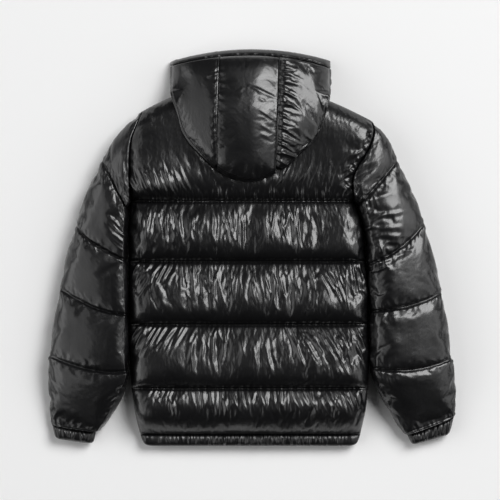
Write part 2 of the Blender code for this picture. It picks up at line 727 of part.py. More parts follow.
def make_hood_side(side, collection, finish):
    """A side panel: rows from the gusset seam out to the folded edge and back below."""
    seam = GUSSET_LEFT if side < 0 else GUSSET_RIGHT
    runs = outline_runs()
    corner_y = rim_seam_y(side * RIM_HALF) - 5 * SEAM_GAP
    start = HOOD_OUTLINE[0 if side < 0 else -1][1] - corner_y
    tip = next(i for i, p in enumerate(HOOD_OUTLINE) if p[0] == HOOD_TIP_X[side])
    end = (runs[tip] if side < 0 else runs[-1] - runs[tip]) - side * HOOD_TIP_STEP[side]
    outer, inner = [], []
    for part in (0, 0.05, 0.12, 0.2, 0.28, 0.36, 0.45, 0.55, 0.66, 0.77, 0.88, 0.96, 1):
        run = mix(start, end, part)
        edge = outline_point(run if side < 0 else runs[-1] - run)
        seam_y = mix(rim_seam_y(seam[0][1]) - SEAM_GAP, seam[-1][0] + 12, part)
        inside = (follow(seam, seam_y) + side * SEAM_GAP, seam_y)
        length = math.dist(edge, inside)

        def plan(step):
            x, y = mix(edge[0], inside[0], step), mix(edge[1], inside[1], step)
            if part == 0:
                y = rim_seam_y(x) - SEAM_GAP * mix(5, 1, step)
            return x, y

        row = folded_row(plan, SIDE_STEPS, SIDE_UNDER_STEPS, length)
        outer.append(row[0])
        inner.append(row[1])
    name = "hood_left" if side < 0 else "hood_right"
    return wall(name, outer, inner, collection, finish)


def make_rim(collection, finish):
    """The casing round the hood's mouth, a flattened tube between two arcs."""
    bm = bmesh.new()
    rings = []
    for number in range(RIM_SECTIONS + 1):
        x = mix(RIM_LEFT, RIM_RIGHT, number / RIM_SECTIONS)
        low = rim_seam_y(x) + SEAM_GAP
        high = RIM_EDGE_TOP - RIM_EDGE_DROP * (x / RIM_HALF) ** 2
        ring = []
        for step in range(RIM_SIDES):
            turn = 2 * math.pi * (step + 0.5) / RIM_SIDES
            across = 0.5 + 0.5 * math.cos(turn) / math.cos(math.pi / RIM_SIDES)
            up = max(0.0, RIM_THICK * (0.5 + 0.55 * math.sin(turn)))
            ring.append(bm.verts.new((x, mix(low, high, across), up)))
        rings.append(ring)
    for a, b in zip(rings, rings[1:]):
        for k in range(RIM_SIDES):
            after = (k + 1) % RIM_SIDES
            bm.faces.new((a[k], a[after], b[after], b[k]))
    bm.faces.new(rings[0])
    bm.faces.new(rings[-1])
    return finish_object("hood_rim", bm, collection, finish)


# ---------------------------------------------------------------- zip
def make_zip(collection, tape, metal):
    for side, name in ((-1, "zip_left"), (1, "zip_right")):
        xs = sorted((side * (ZIP_HALF - SEAM_GAP), side * ZIP_CENTRE))
        low = (xs[0], HEM_EDGE + 1, TAPE_LOW)
        box_object(name, low, (xs[1], ZIP_TOP, TAPE_LOW + TAPE_THICK), collection, tape)
    make_slider(collection, metal)
    make_pull(collection, metal)


def join_pieces(first, others):
    """One solid from several that overlap, by Boolean unions."""
    for other in others:
        union = first.modifiers.new("union", "BOOLEAN")
        union.operation = "UNION"
        union.solver = "EXACT"
        union.object = other
        graph = bpy.context.evaluated_depsgraph_get()
        joined = bpy.data.meshes.new_from_object(first.evaluated_get(graph))
        first.modifiers.remove(union)
        first.data = joined
        bpy.data.objects.remove(other)
    return first


def make_slider(collection, metal):
    """The slider's body below the tapes, with two ears that hold the pull's bar."""
    low = SLIDER_LOW - PULL_AXIS[2]
    high = TAPE_LOW - SEAM_GAP - PULL_AXIS[2]
    near = (-SLIDER_HALF, SLIDER_ENDS[0], low)
    far = (SLIDER_HALF, SLIDER_ENDS[1], high)
    body = box_object("zip_slider", near, far, collection, metal, PULL_AXIS)
    ears = []
    for side in (-1, 1):
        xs = sorted((side * EAR_INSIDE, side * EAR_OUTSIDE))
        near = (xs[0], -EAR_HALF, EAR_LOW - PULL_AXIS[2])
        far = (xs[1], EAR_HALF, low + EAR_SINK)
        ears.append(box_object("ear", near, far, collection, metal, PULL_AXIS))
    return join_pieces(body, ears)


def make_pull(collection, metal):
    """The pull tab: a flat plate with a grip, hung on a round bar on its hinge axis."""
    near = (-PULL_HALF, -PULL_LENGTH, -PULL_THICK / 2)
    far = (PULL_HALF, 0, PULL_THICK / 2)
    plate = box_object("zip_pull", near, far, collection, metal, PULL_AXIS)
    near = (-GRIP_HALF, GRIP_ENDS[0], -GRIP_THICK / 2)
    far = (GRIP_HALF, GRIP_ENDS[1], GRIP_THICK / 2)
    grip = box_object("grip", near, far, collection, metal, PULL_AXIS)
    bm = bmesh.new()
    bmesh.ops.create_cone(
        bm,
        cap_ends=True,
        segments=12,
        radius1=BAR_RADIUS,
        radius2=BAR_RADIUS,
        depth=2 * (EAR_INSIDE - SEAM_GAP),
        matrix=Matrix.Rotation(math.pi / 2, 4, "Y"),
    )
    bar = finish_object("bar", bm, collection, metal, PULL_AXIS)
    return join_pieces(plate, [bar, grip])


# ---------------------------------------------------------------- main
def main():
    for old in list(bpy.data.objects):
        bpy.data.objects.remove(old)
    jacket = bpy.data.collections.new("puffer jacket")
    bpy.context.scene.collection.children.link(jacket)
    nylon = material("shell", (0.012, 0.012, 0.014), 0.28)
    elastic = material("elastic bands", (0.01, 0.01, 0.012), 0.45)
    tape = material("zip tape", (0.015, 0.015, 0.015), 0.8)
    metal = material("zip metal", (0.05, 0.05, 0.055), 0.3, 1.0)
    make_back(jacket, nylon)
    for side in (-1, 1):
        make_front(side, jacket, nylon)
        make_chin(side, jacket, nylon)
        make_sleeve(side, jacket, nylon)
        make_cuff(side, jacket, elastic)
    make_hem_band(jacket, elastic)
    make_hood_centre(jacket, nylon)
    for side in (-1, 1):
        make_hood_side(side, jacket, nylon)
    make_rim(jacket, elastic)
    make_zip(jacket, tape, metal)
    whole = bpy.data.objects.new("whole jacket", None)
    jacket.objects.link(whole)
    for piece in jacket.objects:
        if piece != whole:
            piece.parent = whole


main()
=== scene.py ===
# %% [markdown]
# # A hooded puffer jacket, laid out with its back up
#
# A puffer jacket is made of two layers of thin nylon with loose filling between them,
# sewn through in long channels. What makes it look real is what the cloth does between
# those stitch lines: it is cut a little larger than the space it has, so it bulges and
# breaks into short folds that start at every seam. This lesson lays out each panel on a
# grid, lets Blender's cloth simulation blow it up and crumple it, and then turns the
# result into a closed, padded piece. Elastic bands, stitches and the zip come after.
# All sizes are in millimetres, and become metres where a mesh is made.

# %% Frame
import math

import bmesh
import bpy
import numpy as np
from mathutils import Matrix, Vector


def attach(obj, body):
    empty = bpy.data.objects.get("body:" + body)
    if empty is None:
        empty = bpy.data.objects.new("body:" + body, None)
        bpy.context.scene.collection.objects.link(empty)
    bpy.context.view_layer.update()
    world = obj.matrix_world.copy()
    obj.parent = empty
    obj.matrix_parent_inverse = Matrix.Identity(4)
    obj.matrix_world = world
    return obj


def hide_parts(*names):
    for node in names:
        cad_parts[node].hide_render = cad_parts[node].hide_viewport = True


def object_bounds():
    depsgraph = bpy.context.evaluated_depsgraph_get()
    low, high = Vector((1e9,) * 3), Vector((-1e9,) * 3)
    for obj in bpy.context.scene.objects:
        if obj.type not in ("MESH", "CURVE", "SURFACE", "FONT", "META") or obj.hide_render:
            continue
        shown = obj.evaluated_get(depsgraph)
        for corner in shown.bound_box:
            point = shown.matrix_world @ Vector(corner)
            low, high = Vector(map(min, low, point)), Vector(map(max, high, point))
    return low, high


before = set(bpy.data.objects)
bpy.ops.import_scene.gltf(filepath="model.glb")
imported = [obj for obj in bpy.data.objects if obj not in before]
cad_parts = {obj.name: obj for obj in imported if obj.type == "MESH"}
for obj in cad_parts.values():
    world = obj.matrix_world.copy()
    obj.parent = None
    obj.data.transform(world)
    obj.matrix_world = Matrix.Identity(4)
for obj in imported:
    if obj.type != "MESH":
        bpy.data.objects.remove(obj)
frame_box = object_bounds()
MM = 0.001
JACKET, PULL = "jacket", "pull"
# Every left piece is on side -1 and every right one on side 1
SIDES = {-1: "left", 1: "right"}
size = frame_box[1] - frame_box[0]
print("frame:", len(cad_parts), "nodes,", [round(value, 3) for value in size], "m")

# %% [markdown]
# ## Curves that the pattern pieces share
#
# A pattern cutter works with a few smooth curves. Here a short table gives a curve's
# corner points and `follow` runs a smooth line through them. The other helpers are the
# profiles that padding takes: a quarter circle at an edge and a plump arch between two
# stitch lines. They all take whole arrays, so a panel of 40,000 points is one call.

# %% Profiles
def mix(a, b, share):
    return a + (b - a) * share


def smooth(share):
    share = np.clip(share, 0, 1)
    return share * share * (3 - 2 * share)


def rounded(share):
    """A quarter circle: 0 at the edge, 1 where the full height is reached."""
    return np.sqrt(1 - (1 - np.clip(share, 0, 1)) ** 2)


def puff(share):
    """The plump arch between two stitch lines."""
    share = np.clip(share, 0, 1)
    return (4 * share * (1 - share)) ** 0.55


def follow(table, at, column=1):
    """A smooth curve through a table's rows, read at the given values."""
    rows = np.array(table if table[0][0] < table[-1][0] else table[::-1], float)
    x, y = rows[:, 0], rows[:, column]
    steep = np.diff(y, prepend=2 * y[0] - y[1], append=2 * y[-1] - y[-2])
    run = np.diff(x, prepend=2 * x[0] - x[1], append=2 * x[-1] - x[-2])
    steep = (steep[1:] + steep[:-1]) / (run[1:] + run[:-1])
    at = np.clip(at, x[0], x[-1])
    k = np.clip(np.searchsorted(x, at) - 1, 0, len(x) - 2)
    span = x[k + 1] - x[k]
    t = (at - x[k]) / span
    return (
        (2 * t**3 - 3 * t**2 + 1) * y[k]
        + (t**3 - 2 * t**2 + t) * span * steep[k]
        + (3 * t**2 - 2 * t**3) * y[k + 1]
        + (t**3 - t**2) * span * steep[k + 1]
    )


def tube_turns(count):
    """Angles round a flat tube, and each one's share of the way across it."""
    turn = np.arange(count) / count * 2 * math.pi
    return turn, 0.5 - 0.5 * np.cos(turn)


print("a plump arch at a tenth and at half of a channel:", puff(0.1).round(2), puff(0.5))

# %% [markdown]
# ## The cut of the body
#
# These are the same sizes that the solids of the frame were made from, in millimetres:
# the stitch lines, the side seams, the armholes, the neck, and how high the padding
# stands. The front and back meet on a plane 40 mm above the floor, which drops at the
# hem, where the padding ends.

# %% Body sizes
SEAM_GAP = 0.3
MID_PLANE, HEM_PLANE, CUFF_PLANE = 40.0, 18.0, 17.0
STITCH_LOFT, CHANNEL_LOFT, LOW_CHANNEL_LOFT = 10.0, 42.0, 36.0
YOKE_LOFT, YOKE_SLOPE = 39.0, 0.05
ARMHOLE_LOFT, EDGE_LOFT, FRONT_LOFT = 25.0, 2.0, 80.0
SIDE_ROUND, SHOULDER_ROUND, FLOOR_ROUND = 42.0, 34.0, 26.0
STITCH_LINES = np.array((-402.0, -301.0, -164.0, -29.0, 100.0))
HEM_SEAM, YOKE_SEAM = STITCH_LINES[0], STITCH_LINES[-1]
HEM_EDGE = -427.0
NECK_HALF, NECK_POINT, BACK_NECK_DEPTH, FRONT_NECK_DEPTH = 86.0, 343.0, 52.0, 133.4
ZIP_HALF, ZIP_TOP, CHIN_TOP = 8.0, 306.0, 320.0
SIDE_SEAMS = (
    # y, left x, right x
    (-402, -240, 233), (-380, -246, 238), (-350, -252, 244), (-301, -259, 249),
    (-232, -263, 251), (-164, -264, 249), (-92, -265, 249), (-29, -264, 244),
    (38, -264, 238), (100, -261, 220),
)
ARMHOLES = {
    # share of the height below the shoulder point, x
    -1: ((0, -234), (0.17, -247), (0.34, -259), (0.55, -262), (0.77, -262), (1, -261)),
    1: ((0, 256), (0.14, 260), (0.34, 250), (0.56, 228), (0.74, 216), (1, 220)),
}
SHOULDER_POINT = {-1: (-234.0, 293.0), 1: (256.0, 272.0)}
SHOULDER_ARC = {-1: 38.0, 1: 22.0}
print("channels from the hem up:", np.diff(STITCH_LINES), "mm high")


# %% Body outline
def mid_plane(y):
    return mix(HEM_PLANE, MID_PLANE, smooth((y - HEM_SEAM) / 70))


def side_x(side, y):
    """The side seam below the underarm and the armhole above it."""
    top = SHOULDER_POINT[side][1]
    seam = follow(SIDE_SEAMS, y, 1 if side < 0 else 2)
    hole = follow(ARMHOLES[side], (top - y) / (top - YOKE_SEAM))
    return np.where(y <= YOKE_SEAM, seam, hole)


def top_y(x, neck_depth):
    """The neckline between the neck points, and the shoulder lines outside them."""
    line = NECK_POINT - neck_depth * np.sqrt(np.clip(1 - (x / NECK_HALF) ** 2, 0, 1))
    for side, (end_x, end_y) in SHOULDER_POINT.items():
        share = (side * x - NECK_HALF) / (abs(end_x) - NECK_HALF)
        slope = mix(NECK_POINT, end_y, share) + SHOULDER_ARC[side] * share * (1 - share)
        line = np.where(side * x >= NECK_HALF, slope, line)
    return line


def body_grid(columns, levels, neck_depth):
    """Plan of a body panel. A column is (side, share): the side -1 or 1 with its share
    from the neck point out to the seam, or 0 with an x inside the neck."""
    k = np.minimum(levels.astype(int), 4)
    below = mix(STITCH_LINES[k], STITCH_LINES[np.minimum(k + 1, 4)], levels - k)
    x, y = [], []
    for side, share in columns:
        if side == 0:
            across = np.full(levels.shape, float(share))
            end_y = seam_y = top_y(across, neck_depth)
        else:
            end_x, seam_y = SHOULDER_POINT[side]
            end_y = top_y(side * mix(NECK_HALF, abs(end_x), share), neck_depth)
        line = np.where(levels < 4, below, mix(YOKE_SEAM, end_y, levels - 4))
        if side:
            edge_y = np.where(levels < 4, below, mix(YOKE_SEAM, seam_y, levels - 4))
            across = side * mix(NECK_HALF, np.abs(side_x(side, edge_y)), share)
        x.append(across)
        y.append(line)
    return np.array(x).T, np.array(y).T


def levels_of(step):
    """Rows from the hem to the shoulders, about a step apart, with one on each line."""
    rows = []
    for k, gap in enumerate(np.diff(STITCH_LINES)):
        count = round(gap / step)
        rows += [k + i / count for i in range(count)]
    count = round((NECK_POINT - YOKE_SEAM) / step)
    return np.array(rows + [4 + i / count for i in range(count + 1)])


print("back length:", NECK_POINT - BACK_NECK_DEPTH - HEM_EDGE, "mm below the neck seam")

# %% [markdown]
# ## Crumpling cloth
#
# Real puffer cloth is larger than the space between its seams. The same is done here:
# a panel starts as a shallow version of its shape, its seams are pinned, and negative
# shrinkage makes every thread of the rest a few per cent longer. Twenty frames of
# Blender's cloth with some pressure turn that spare length into bulges and folds.
# A low ridge is drawn first wherever a fold should start, because cloth buckles where
# it is already bent. Sculpting each fold by hand would take days and look less real.
#
# The result is used with care. Its jitter is smoothed by half, and most of its broad
# bulge is taken out again, because the drawn profile already holds the bulge. What is
# left is the folds, and no point may stray far from where it was drawn.

# %% Cloth simulation
MOST_SLACK, PRESSURE, CLOTH_FRAMES = 0.14, 3.0, 20
FURTHEST_MOVE, JITTER_CUT = 16.0, 0.5
BULGE_REACH, BULGE_CUT = 5, 0.7
TINY = 1e-6


def add_object(name, data):
    """Puts a mesh, a lamp or a camera into the scene as an object."""
    made = bpy.data.objects.new(name, data)
    bpy.context.scene.collection.objects.link(made)
    return made


def grid_faces(rows, columns, ring):
    number = np.arange(rows * columns).reshape(rows, columns)
    if ring:
        number = np.concatenate([number, number[:, :1]], axis=1)
    corners = (number[:-1, :-1], number[:-1, 1:], number[1:, 1:], number[1:, :-1])
    return np.stack(corners, -1).reshape(-1, 4)


def outward(grid, facing, ring):
    """Unit normals of a grid whose first half of columns looks up (1) or down (-1)."""
    if ring:
        across = np.roll(grid, -1, 1) - np.roll(grid, 1, 1)
    else:
        across = np.gradient(grid, axis=1)
    normal = np.cross(across, np.gradient(grid, axis=0))
    normal /= np.maximum(np.linalg.norm(normal, axis=-1, keepdims=True), TINY)
    middle = normal[:, : grid.shape[1] // 2, 2].sum()
    return normal * np.sign(middle) * facing, middle * facing > 0


def spread(grid, reach, ring):
    """Averages a grid over a box that reaches some rows and columns each way."""
    for axis in (0, 1):
        pad = [(0, 0)] * 3
        pad[axis] = (reach + 1, reach)
        wide = np.pad(grid, pad, mode="wrap" if ring and axis else "edge")
        total = np.cumsum(wide, axis=axis)
        width = 2 * reach + 1
        after = np.take(total, range(width, total.shape[axis]), axis)
        grid = (after - np.take(total, range(total.shape[axis] - width), axis)) / width
    return grid


def crumple(start, lift, full, held, slack, facing=1, ring=False):
    """Blows up a grid of cloth points whose held points stay put. lift raises the
    start's ridges, slack is the share by which the cloth is cut too large at each
    point, and facing is the way that its first columns look."""
    rows, columns = held.shape
    normal, same_way = outward(start, facing, ring)
    start = start + normal * np.where(held, 0, lift)[..., None]
    faces = grid_faces(rows, columns, ring)
    if not same_way:
        faces = faces[:, ::-1]
    mesh = bpy.data.meshes.new("cloth")
    mesh.from_pydata((start * MM).reshape(-1, 3).tolist(), [], faces.tolist())
    cloth = add_object("cloth", mesh)
    seams = cloth.vertex_groups.new(name="seams")
    seams.add(np.flatnonzero(held).tolist(), 1.0, "REPLACE")
    snug = cloth.vertex_groups.new(name="snug")
    share = np.round(1 - slack.ravel() / MOST_SLACK, 2)
    for value in np.unique(share):
        snug.add(np.flatnonzero(share == value).tolist(), float(value), "REPLACE")
    modifier = cloth.modifiers.new("cloth", "CLOTH")
    settings = modifier.settings
    settings.vertex_group_mass = "seams"
    settings.vertex_group_shrink = "snug"
    settings.shrink_min = -MOST_SLACK
    settings.use_pressure = True
    settings.uniform_pressure_force = PRESSURE
    settings.effector_weights.gravity = 0.0
    modifier.collision_settings.use_collision = False
    modifier.point_cache.frame_end = CLOTH_FRAMES + 1
    for number in range(1, CLOTH_FRAMES + 1):
        bpy.context.scene.frame_set(number)
    blown = np.empty(rows * columns * 3, np.float32)
    graph = bpy.context.evaluated_depsgraph_get()
    cloth.evaluated_get(graph).data.vertices.foreach_get("co", blown)
    bpy.data.objects.remove(cloth)
    bpy.data.meshes.remove(mesh)
    moved = blown.reshape(rows, columns, 3) / MM - full
    moved = mix(moved, spread(moved, 1, ring), JITTER_CUT)
    broad = spread(spread(moved, BULGE_REACH, ring), BULGE_REACH, ring)
    moved = (moved - BULGE_CUT * broad) * ~held[..., None]
    far = np.linalg.norm(moved, axis=-1, keepdims=True)
    return full + moved * np.minimum(1, FURTHEST_MOVE / np.maximum(far, TINY))


print("cloth: at most", MOST_SLACK, "too large,", CLOTH_FRAMES, "frames a panel")

# %% [markdown]
# Folds are not spread evenly. On each panel a short table says where a run of them
# lies, how far apart and how far from the seam they reach, and how they lean. The
# ridges that it draws are uneven in place, width and height, from a fixed seed.

# %% Ridges where folds start
def ridges(along, away, runs, seed):
    """Heights of the ridges at points given by their way along a seam and away from it.
    A run is (start, end, spacing, lean, near, far, height)."""
    dice = np.random.default_rng(seed)
    height = np.zeros(np.broadcast_shapes(np.shape(along), np.shape(away)))
    for start, end, spacing, lean, near, far, high in runs:
        at = start
        while at < end:
            first = near + dice.uniform(0, 0.3) * (far - near) * (near > 0)
            last = far - dice.uniform(0, 0.45) * (far - near)
            part = np.clip((away - first) / (last - first), 0, 1)
            swell = np.sin(math.pi * part)
            tilt, bend = lean + dice.normal(0, 0.14), dice.normal(0, 0.16)
            middle = at + tilt * (away - near) + bend * (last - first) * part * (1 - part)
            width = dice.uniform(0.22, 0.36) * min(spacing, 14) * (0.5 + 0.5 * swell)
            top = high * dice.uniform(0.6, 1.4)
            height += top * swell**0.6 * np.exp(-(((along - middle) / width) ** 2))
            at += spacing * dice.uniform(0.65, 1.35)
    return height


seam_ways = np.arange(0.0, 100.0)
test_run = [(0, 100, 10, 0, -5, 5, 2)]
print("a run of folds rises to", ridges(seam_ways, 0 * seam_ways, test_run, 1).max().round(1), "mm")

# %% [markdown]
# ## From a grid to a closed piece
#
# The simulation works on a fairly coarse grid, which is then read more finely with a
# smooth curve through its points. A panel that lies on another gets a rim and a plain
# underside with large faces, since nobody sees it. A sleeve is a tube of rings with
# its two ends closed. Both are shaded smooth.

# %% Grid tools
UNDERSIDE_STEP = 10


def finer(grid, times, ring=False):
    """Reads a grid at a finer step, on smooth curves through its points."""
    for axis, more in enumerate(times):
        count = grid.shape[axis]
        closed = ring and axis == 1
        steps = round(count * more) if closed else round((count - 1) * more) + 1
        at = np.arange(steps) * (count / steps if closed else (count - 1) / (steps - 1))
        k = np.minimum(at.astype(int), count - (1 if closed else 2))
        t = (at - k).reshape(-1, 1, 1)
        if axis == 1:
            t = t.reshape(1, -1, 1)
        near = [
            grid.take((k + i) % count if closed else np.clip(k + i, 0, count - 1), axis)
            for i in (-1, 0, 1, 2)
        ]
        grid = 0.5 * (
            2 * near[1]
            + (near[2] - near[0]) * t
            + (2 * near[0] - 5 * near[1] + 4 * near[2] - near[3]) * t**2
            + (3 * near[1] - near[0] - 3 * near[2] + near[3]) * t**3
        )
    return grid


def piece_from(name, bm, finish):
    """Turns a finished bmesh into a smooth piece of the scene."""
    mesh = bpy.data.meshes.new(name)
    bm.to_mesh(mesh)
    bm.free()
    mesh.shade_smooth()
    mesh.materials.append(finish)
    return add_object(name, mesh)


def make_piece(name, points, faces, finish):
    """A closed mesh with outward faces, from points and faces."""
    plain = bpy.data.meshes.new(name + " plain")
    plain.from_pydata((np.asarray(points) * MM).tolist(), [], faces)
    bm = bmesh.new()
    bm.from_mesh(plain)
    bpy.data.meshes.remove(plain)
    bmesh.ops.recalc_face_normals(bm, faces=bm.faces)
    return piece_from(name, bm, finish)


def fit(piece, slot, *nodes, body=JACKET):
    """Names the body that a piece moves with, and the solids it replaces, which it hides. The slot,
    for its finish, is not used.
    """
    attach(piece, body)
    if nodes:
        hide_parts(*nodes)
    return piece


def closed_panel(name, skin, lining_z, finish):
    """A skin with a rim and a plain underside, whose inner faces are large."""
    rows, columns = skin.shape[:2]
    points = skin.reshape(-1, 3).tolist()
    faces = grid_faces(rows, columns, False).tolist()
    under = {}

    def below(row, column):
        if (row, column) not in under:
            under[row, column] = len(points)
            x, y, _ = skin[row, column]
            points.append((x, y, lining_z[row, column]))
        return under[row, column]

    row_marks = [*range(0, rows - 1, UNDERSIDE_STEP), rows - 1]
    column_marks = [*range(0, columns - 1, UNDERSIDE_STEP), columns - 1]
    for r0, r1 in zip(row_marks, row_marks[1:]):
        for c0, c1 in zip(column_marks, column_marks[1:]):
            loop = [(r0, c) for c in (range(c0, c1) if r0 == 0 else (c0,))]
            loop += [(r, c1) for r in (range(r0, r1) if c1 == columns - 1 else (r0,))]
            loop += [(r1, c) for c in (range(c1, c0, -1) if r1 == rows - 1 else (c1,))]
            loop += [(r, c0) for r in (range(r1, r0, -1) if c0 == 0 else (r1,))]
            faces.append([below(*place) for place in loop])
    rim = [(0, c) for c in range(columns)] + [(r, columns - 1) for r in range(1, rows)]
    rim += [(rows - 1, c) for c in range(columns - 2, -1, -1)]
    rim += [(r, 0) for r in range(rows - 2, -1, -1)]
    for (r0, c0), (r1, c1) in zip(rim, rim[1:]):
        above = (r0 * columns + c0, r1 * columns + c1)
        faces.append([*above, below(r1, c1), below(r0, c0)])
    return make_piece(name, points, faces, finish)


def closed_tube(name, rings, finish):
    rows, columns = rings.shape[:2]
    faces = grid_faces(rows, columns, True).tolist()
    faces.append(list(range(columns)))
    faces.append([(rows - 1) * columns + c for c in range(columns)])
    return make_piece(name, rings.reshape(-1, 3), faces, finish)


print("a grid of 3 by 3 read twice as finely:", finer(np.zeros((3, 3, 3)), (2, 2)).shape[:2])

# %% [markdown]
# ## Glossy nylon
#
# The cloth is a tight black taffeta with a calendered, almost wet shine. Two layers of
# bump do most of the work: a fine one for the weave, and a soft one for the small
# crinkles that thin nylon keeps. The roughness wanders a little, because handling dulls
# the tops of the folds. All of it reads Object coordinates, so it needs no unwrapping.
#
# There are two finishes. The plain one is for the hood and the fronts, whose crinkles
# have no direction. The gathered one is for the back and the sleeves, where the finest
# creases run down the panel, away from the stitch lines that gather them.

# %% Materials
BLACK, COAT_ROUGHNESS = (0.004, 0.004, 0.0045), 0.13
THREADS_PER_METRE, WEAVE_DEPTH = 2200, 0.00004
# A wave texture at scale 1 has 6.3 half waves in a metre. The threads of a plain
# weave lie over and under in turn, so each half wave is one thread.
WAVES_AT_ONE = 6.3


def finish_of(name, colour, roughness, metallic=0.0, coat=0.0):
    made = bpy.data.materials.new(name)
    made.use_nodes = True
    shader = made.node_tree.nodes["Principled BSDF"]
    shader.inputs["Base Color"].default_value = (*colour, 1)
    shader.inputs["Roughness"].default_value = roughness
    shader.inputs["Metallic"].default_value = metallic
    shader.inputs["Coat Weight"].default_value = coat
    shader.inputs["Coat Roughness"].default_value = COAT_ROUGHNESS
    return made


def add_noise(made, scale, detail=2.0, stretch=(1, 1, 1)):
    """A noise pattern on Object coordinates, and returns its output."""
    nodes, links = made.node_tree.nodes, made.node_tree.links
    place = nodes.new("ShaderNodeTexCoord")
    stretched = nodes.new("ShaderNodeMapping")
    stretched.inputs["Scale"].default_value = stretch
    noise = nodes.new("ShaderNodeTexNoise")
    noise.inputs["Scale"].default_value = scale
    noise.inputs["Detail"].default_value = detail
    links.new(place.outputs["Object"], stretched.inputs["Vector"])
    links.new(stretched.outputs["Vector"], noise.inputs["Vector"])
    return noise.outputs["Fac"]


def add_bumps(made, bumps):
    """Stacks bump nodes, each (height output, depth in metres, strength)."""
    nodes, links = made.node_tree.nodes, made.node_tree.links
    before = None
    for height, depth, strength in bumps:
        bump = nodes.new("ShaderNodeBump")
        bump.inputs["Distance"].default_value = depth
        bump.inputs["Strength"].default_value = strength
        links.new(height, bump.inputs["Height"])
        if before:
            links.new(before.outputs["Normal"], bump.inputs["Normal"])
        before = bump
    links.new(before.outputs["Normal"], nodes["Principled BSDF"].inputs["Normal"])


def vary_roughness(made, height, low, high):
    """Lets a noise's middle values wander between two roughnesses."""
    nodes, links = made.node_tree.nodes, made.node_tree.links
    wander = nodes.new("ShaderNodeMapRange")
    limits = {"From Min": 0.3, "From Max": 0.7, "To Min": low, "To Max": high}
    for name, value in limits.items():
        wander.inputs[name].default_value = value
    links.new(height, wander.inputs["Value"])
    links.new(wander.outputs["Result"], nodes["Principled BSDF"].inputs["Roughness"])


def add_weave(made, threads_per_metre=THREADS_PER_METRE):
    """Two crossed wave patterns, as warp and weft, and returns their sum."""
    nodes, links = made.node_tree.nodes, made.node_tree.links
    place = nodes.new("ShaderNodeTexCoord")
    total = nodes.new("ShaderNodeMath")
    total.operation = "ADD"
    for number, direction in enumerate(("X", "Y")):
        wave = nodes.new("ShaderNodeTexWave")
        wave.bands_direction = direction
        wave.inputs["Scale"].default_value = threads_per_metre / WAVES_AT_ONE
        links.new(place.outputs["Object"], wave.inputs["Vector"])
        links.new(wave.outputs["Fac"], total.inputs[number])
    return total.outputs["Value"]


def make_nylon(name, crinkle_scale, crinkle_stretch, depth):
    made = finish_of(name, BLACK, 0.33, coat=0.35)
    crinkle = add_noise(made, crinkle_scale, 3.0, crinkle_stretch)
    add_bumps(made, [(crinkle, depth, 0.5), (add_weave(made), WEAVE_DEPTH, 0.3)])
    vary_roughness(made, add_noise(made, 18), 0.29, 0.37)
    return made


nylon = make_nylon("glossy nylon", 90, (1, 1, 1), 0.0001)
gathered_nylon = make_nylon("gathered nylon", 230, (1, 0.13, 1), 0.0004)
print("nylon nodes:", len(nylon.node_tree.nodes))

# %% [markdown]
# ## The back
#
# The back is one panel from side seam to side seam, sewn in four long channels under a
# plain yoke. The filling sags, so a channel isn't a plain arch: it slopes gently from
# its upper line, is fullest low down, and falls steeply to its lower line. Filling also
# gathers in clumps, so a table adds broad swells and dips. One plain arch for all four
# would be quicker, but four equal rolls look like an air bed.

# %% Shape of the back
LINE_LEVELS = (1, 2, 3, 4)


def armhole_edge(side, y):
    """Thickness left at the armhole, none at the underarm and the shoulder point."""
    top = SHOULDER_POINT[side][1]
    ends = rounded((y - YOKE_SEAM) / SIDE_ROUND) * rounded((top - y) / SIDE_ROUND)
    return EDGE_LOFT + (ARMHOLE_LOFT - EDGE_LOFT) * ends


def channel_of(y):
    """Each point's channel, counted up from the hem, and its share of the channel."""
    k = np.clip(np.searchsorted(STITCH_LINES, y, side="right") - 1, 0, 3)
    return k, (y - STITCH_LINES[k]) / (STITCH_LINES[k + 1] - STITCH_LINES[k])


def yoke_crest(y):
    return YOKE_LOFT - YOKE_SLOPE * (y - YOKE_SEAM)


# The filling sags towards the hem, so a channel is fullest this far down it
FULLEST = np.array((0.64, 0.8, 0.78, 0.82))
# Its upper slope: how much of it is a quick rise, and over what share of the channel
QUICK_RISE, RISE_SHARE, SLOPE_CURVE = 0.3, 0.09, 1.3
# The yoke rises and falls over these shares of its height, and the simulation starts
# with this share of its thickness
YOKE_RISE, YOKE_FALL, YOKE_START = 0.24, 0.16, 0.4
BACK_SWELLS = (
    # x, y, width, height, millimetres
    (-210, 112, 80, 54, 18.5), (40, 118, 60, 40, 3.0), (140, 150, 60, 60, -4.0),
    (-215, 40, 34, 60, 4.5), (-112, 40, 46, 50, 6.5), (-6, 40, 16, 60, -6.0),
    (30, 40, 34, 60, 4.5), (135, 40, 60, 60, -6.5), (205, 40, 30, 60, 3.0),
    (-205, -96, 50, 60, 5.0), (-66, -96, 24, 60, -5.0), (-2, -96, 30, 50, 4.5),
    (100, -96, 26, 60, -6.0), (138, -96, 22, 60, 4.0), (196, -96, 26, 60, -4.5),
    (-190, -232, 50, 50, 4.0), (-70, -232, 40, 60, -5.0), (-8, -232, 34, 40, 5.0),
    (70, -232, 26, 60, -4.0), (130, -232, 60, 60, 4.0),
    (-110, -350, 40, 40, -3.5), (-30, -350, 34, 40, 4.0), (78, -350, 22, 40, -3.0),
)


def seam_distance(x, y):
    """How far a point lies inside the side seam or armhole, and that seam's thickness."""
    inset, edge = np.empty(x.shape), np.empty(x.shape)
    for side in (-1, 1):
        here = (x < 0) if side < 0 else (x >= 0)
        seam_y = np.minimum(y[here], SHOULDER_POINT[side][1])
        inset[here] = np.abs(side_x(side, seam_y)) - np.abs(x[here])
        edge[here] = np.where(y[here] > YOKE_SEAM, armhole_edge(side, y[here]), EDGE_LOFT)
    return inset, edge


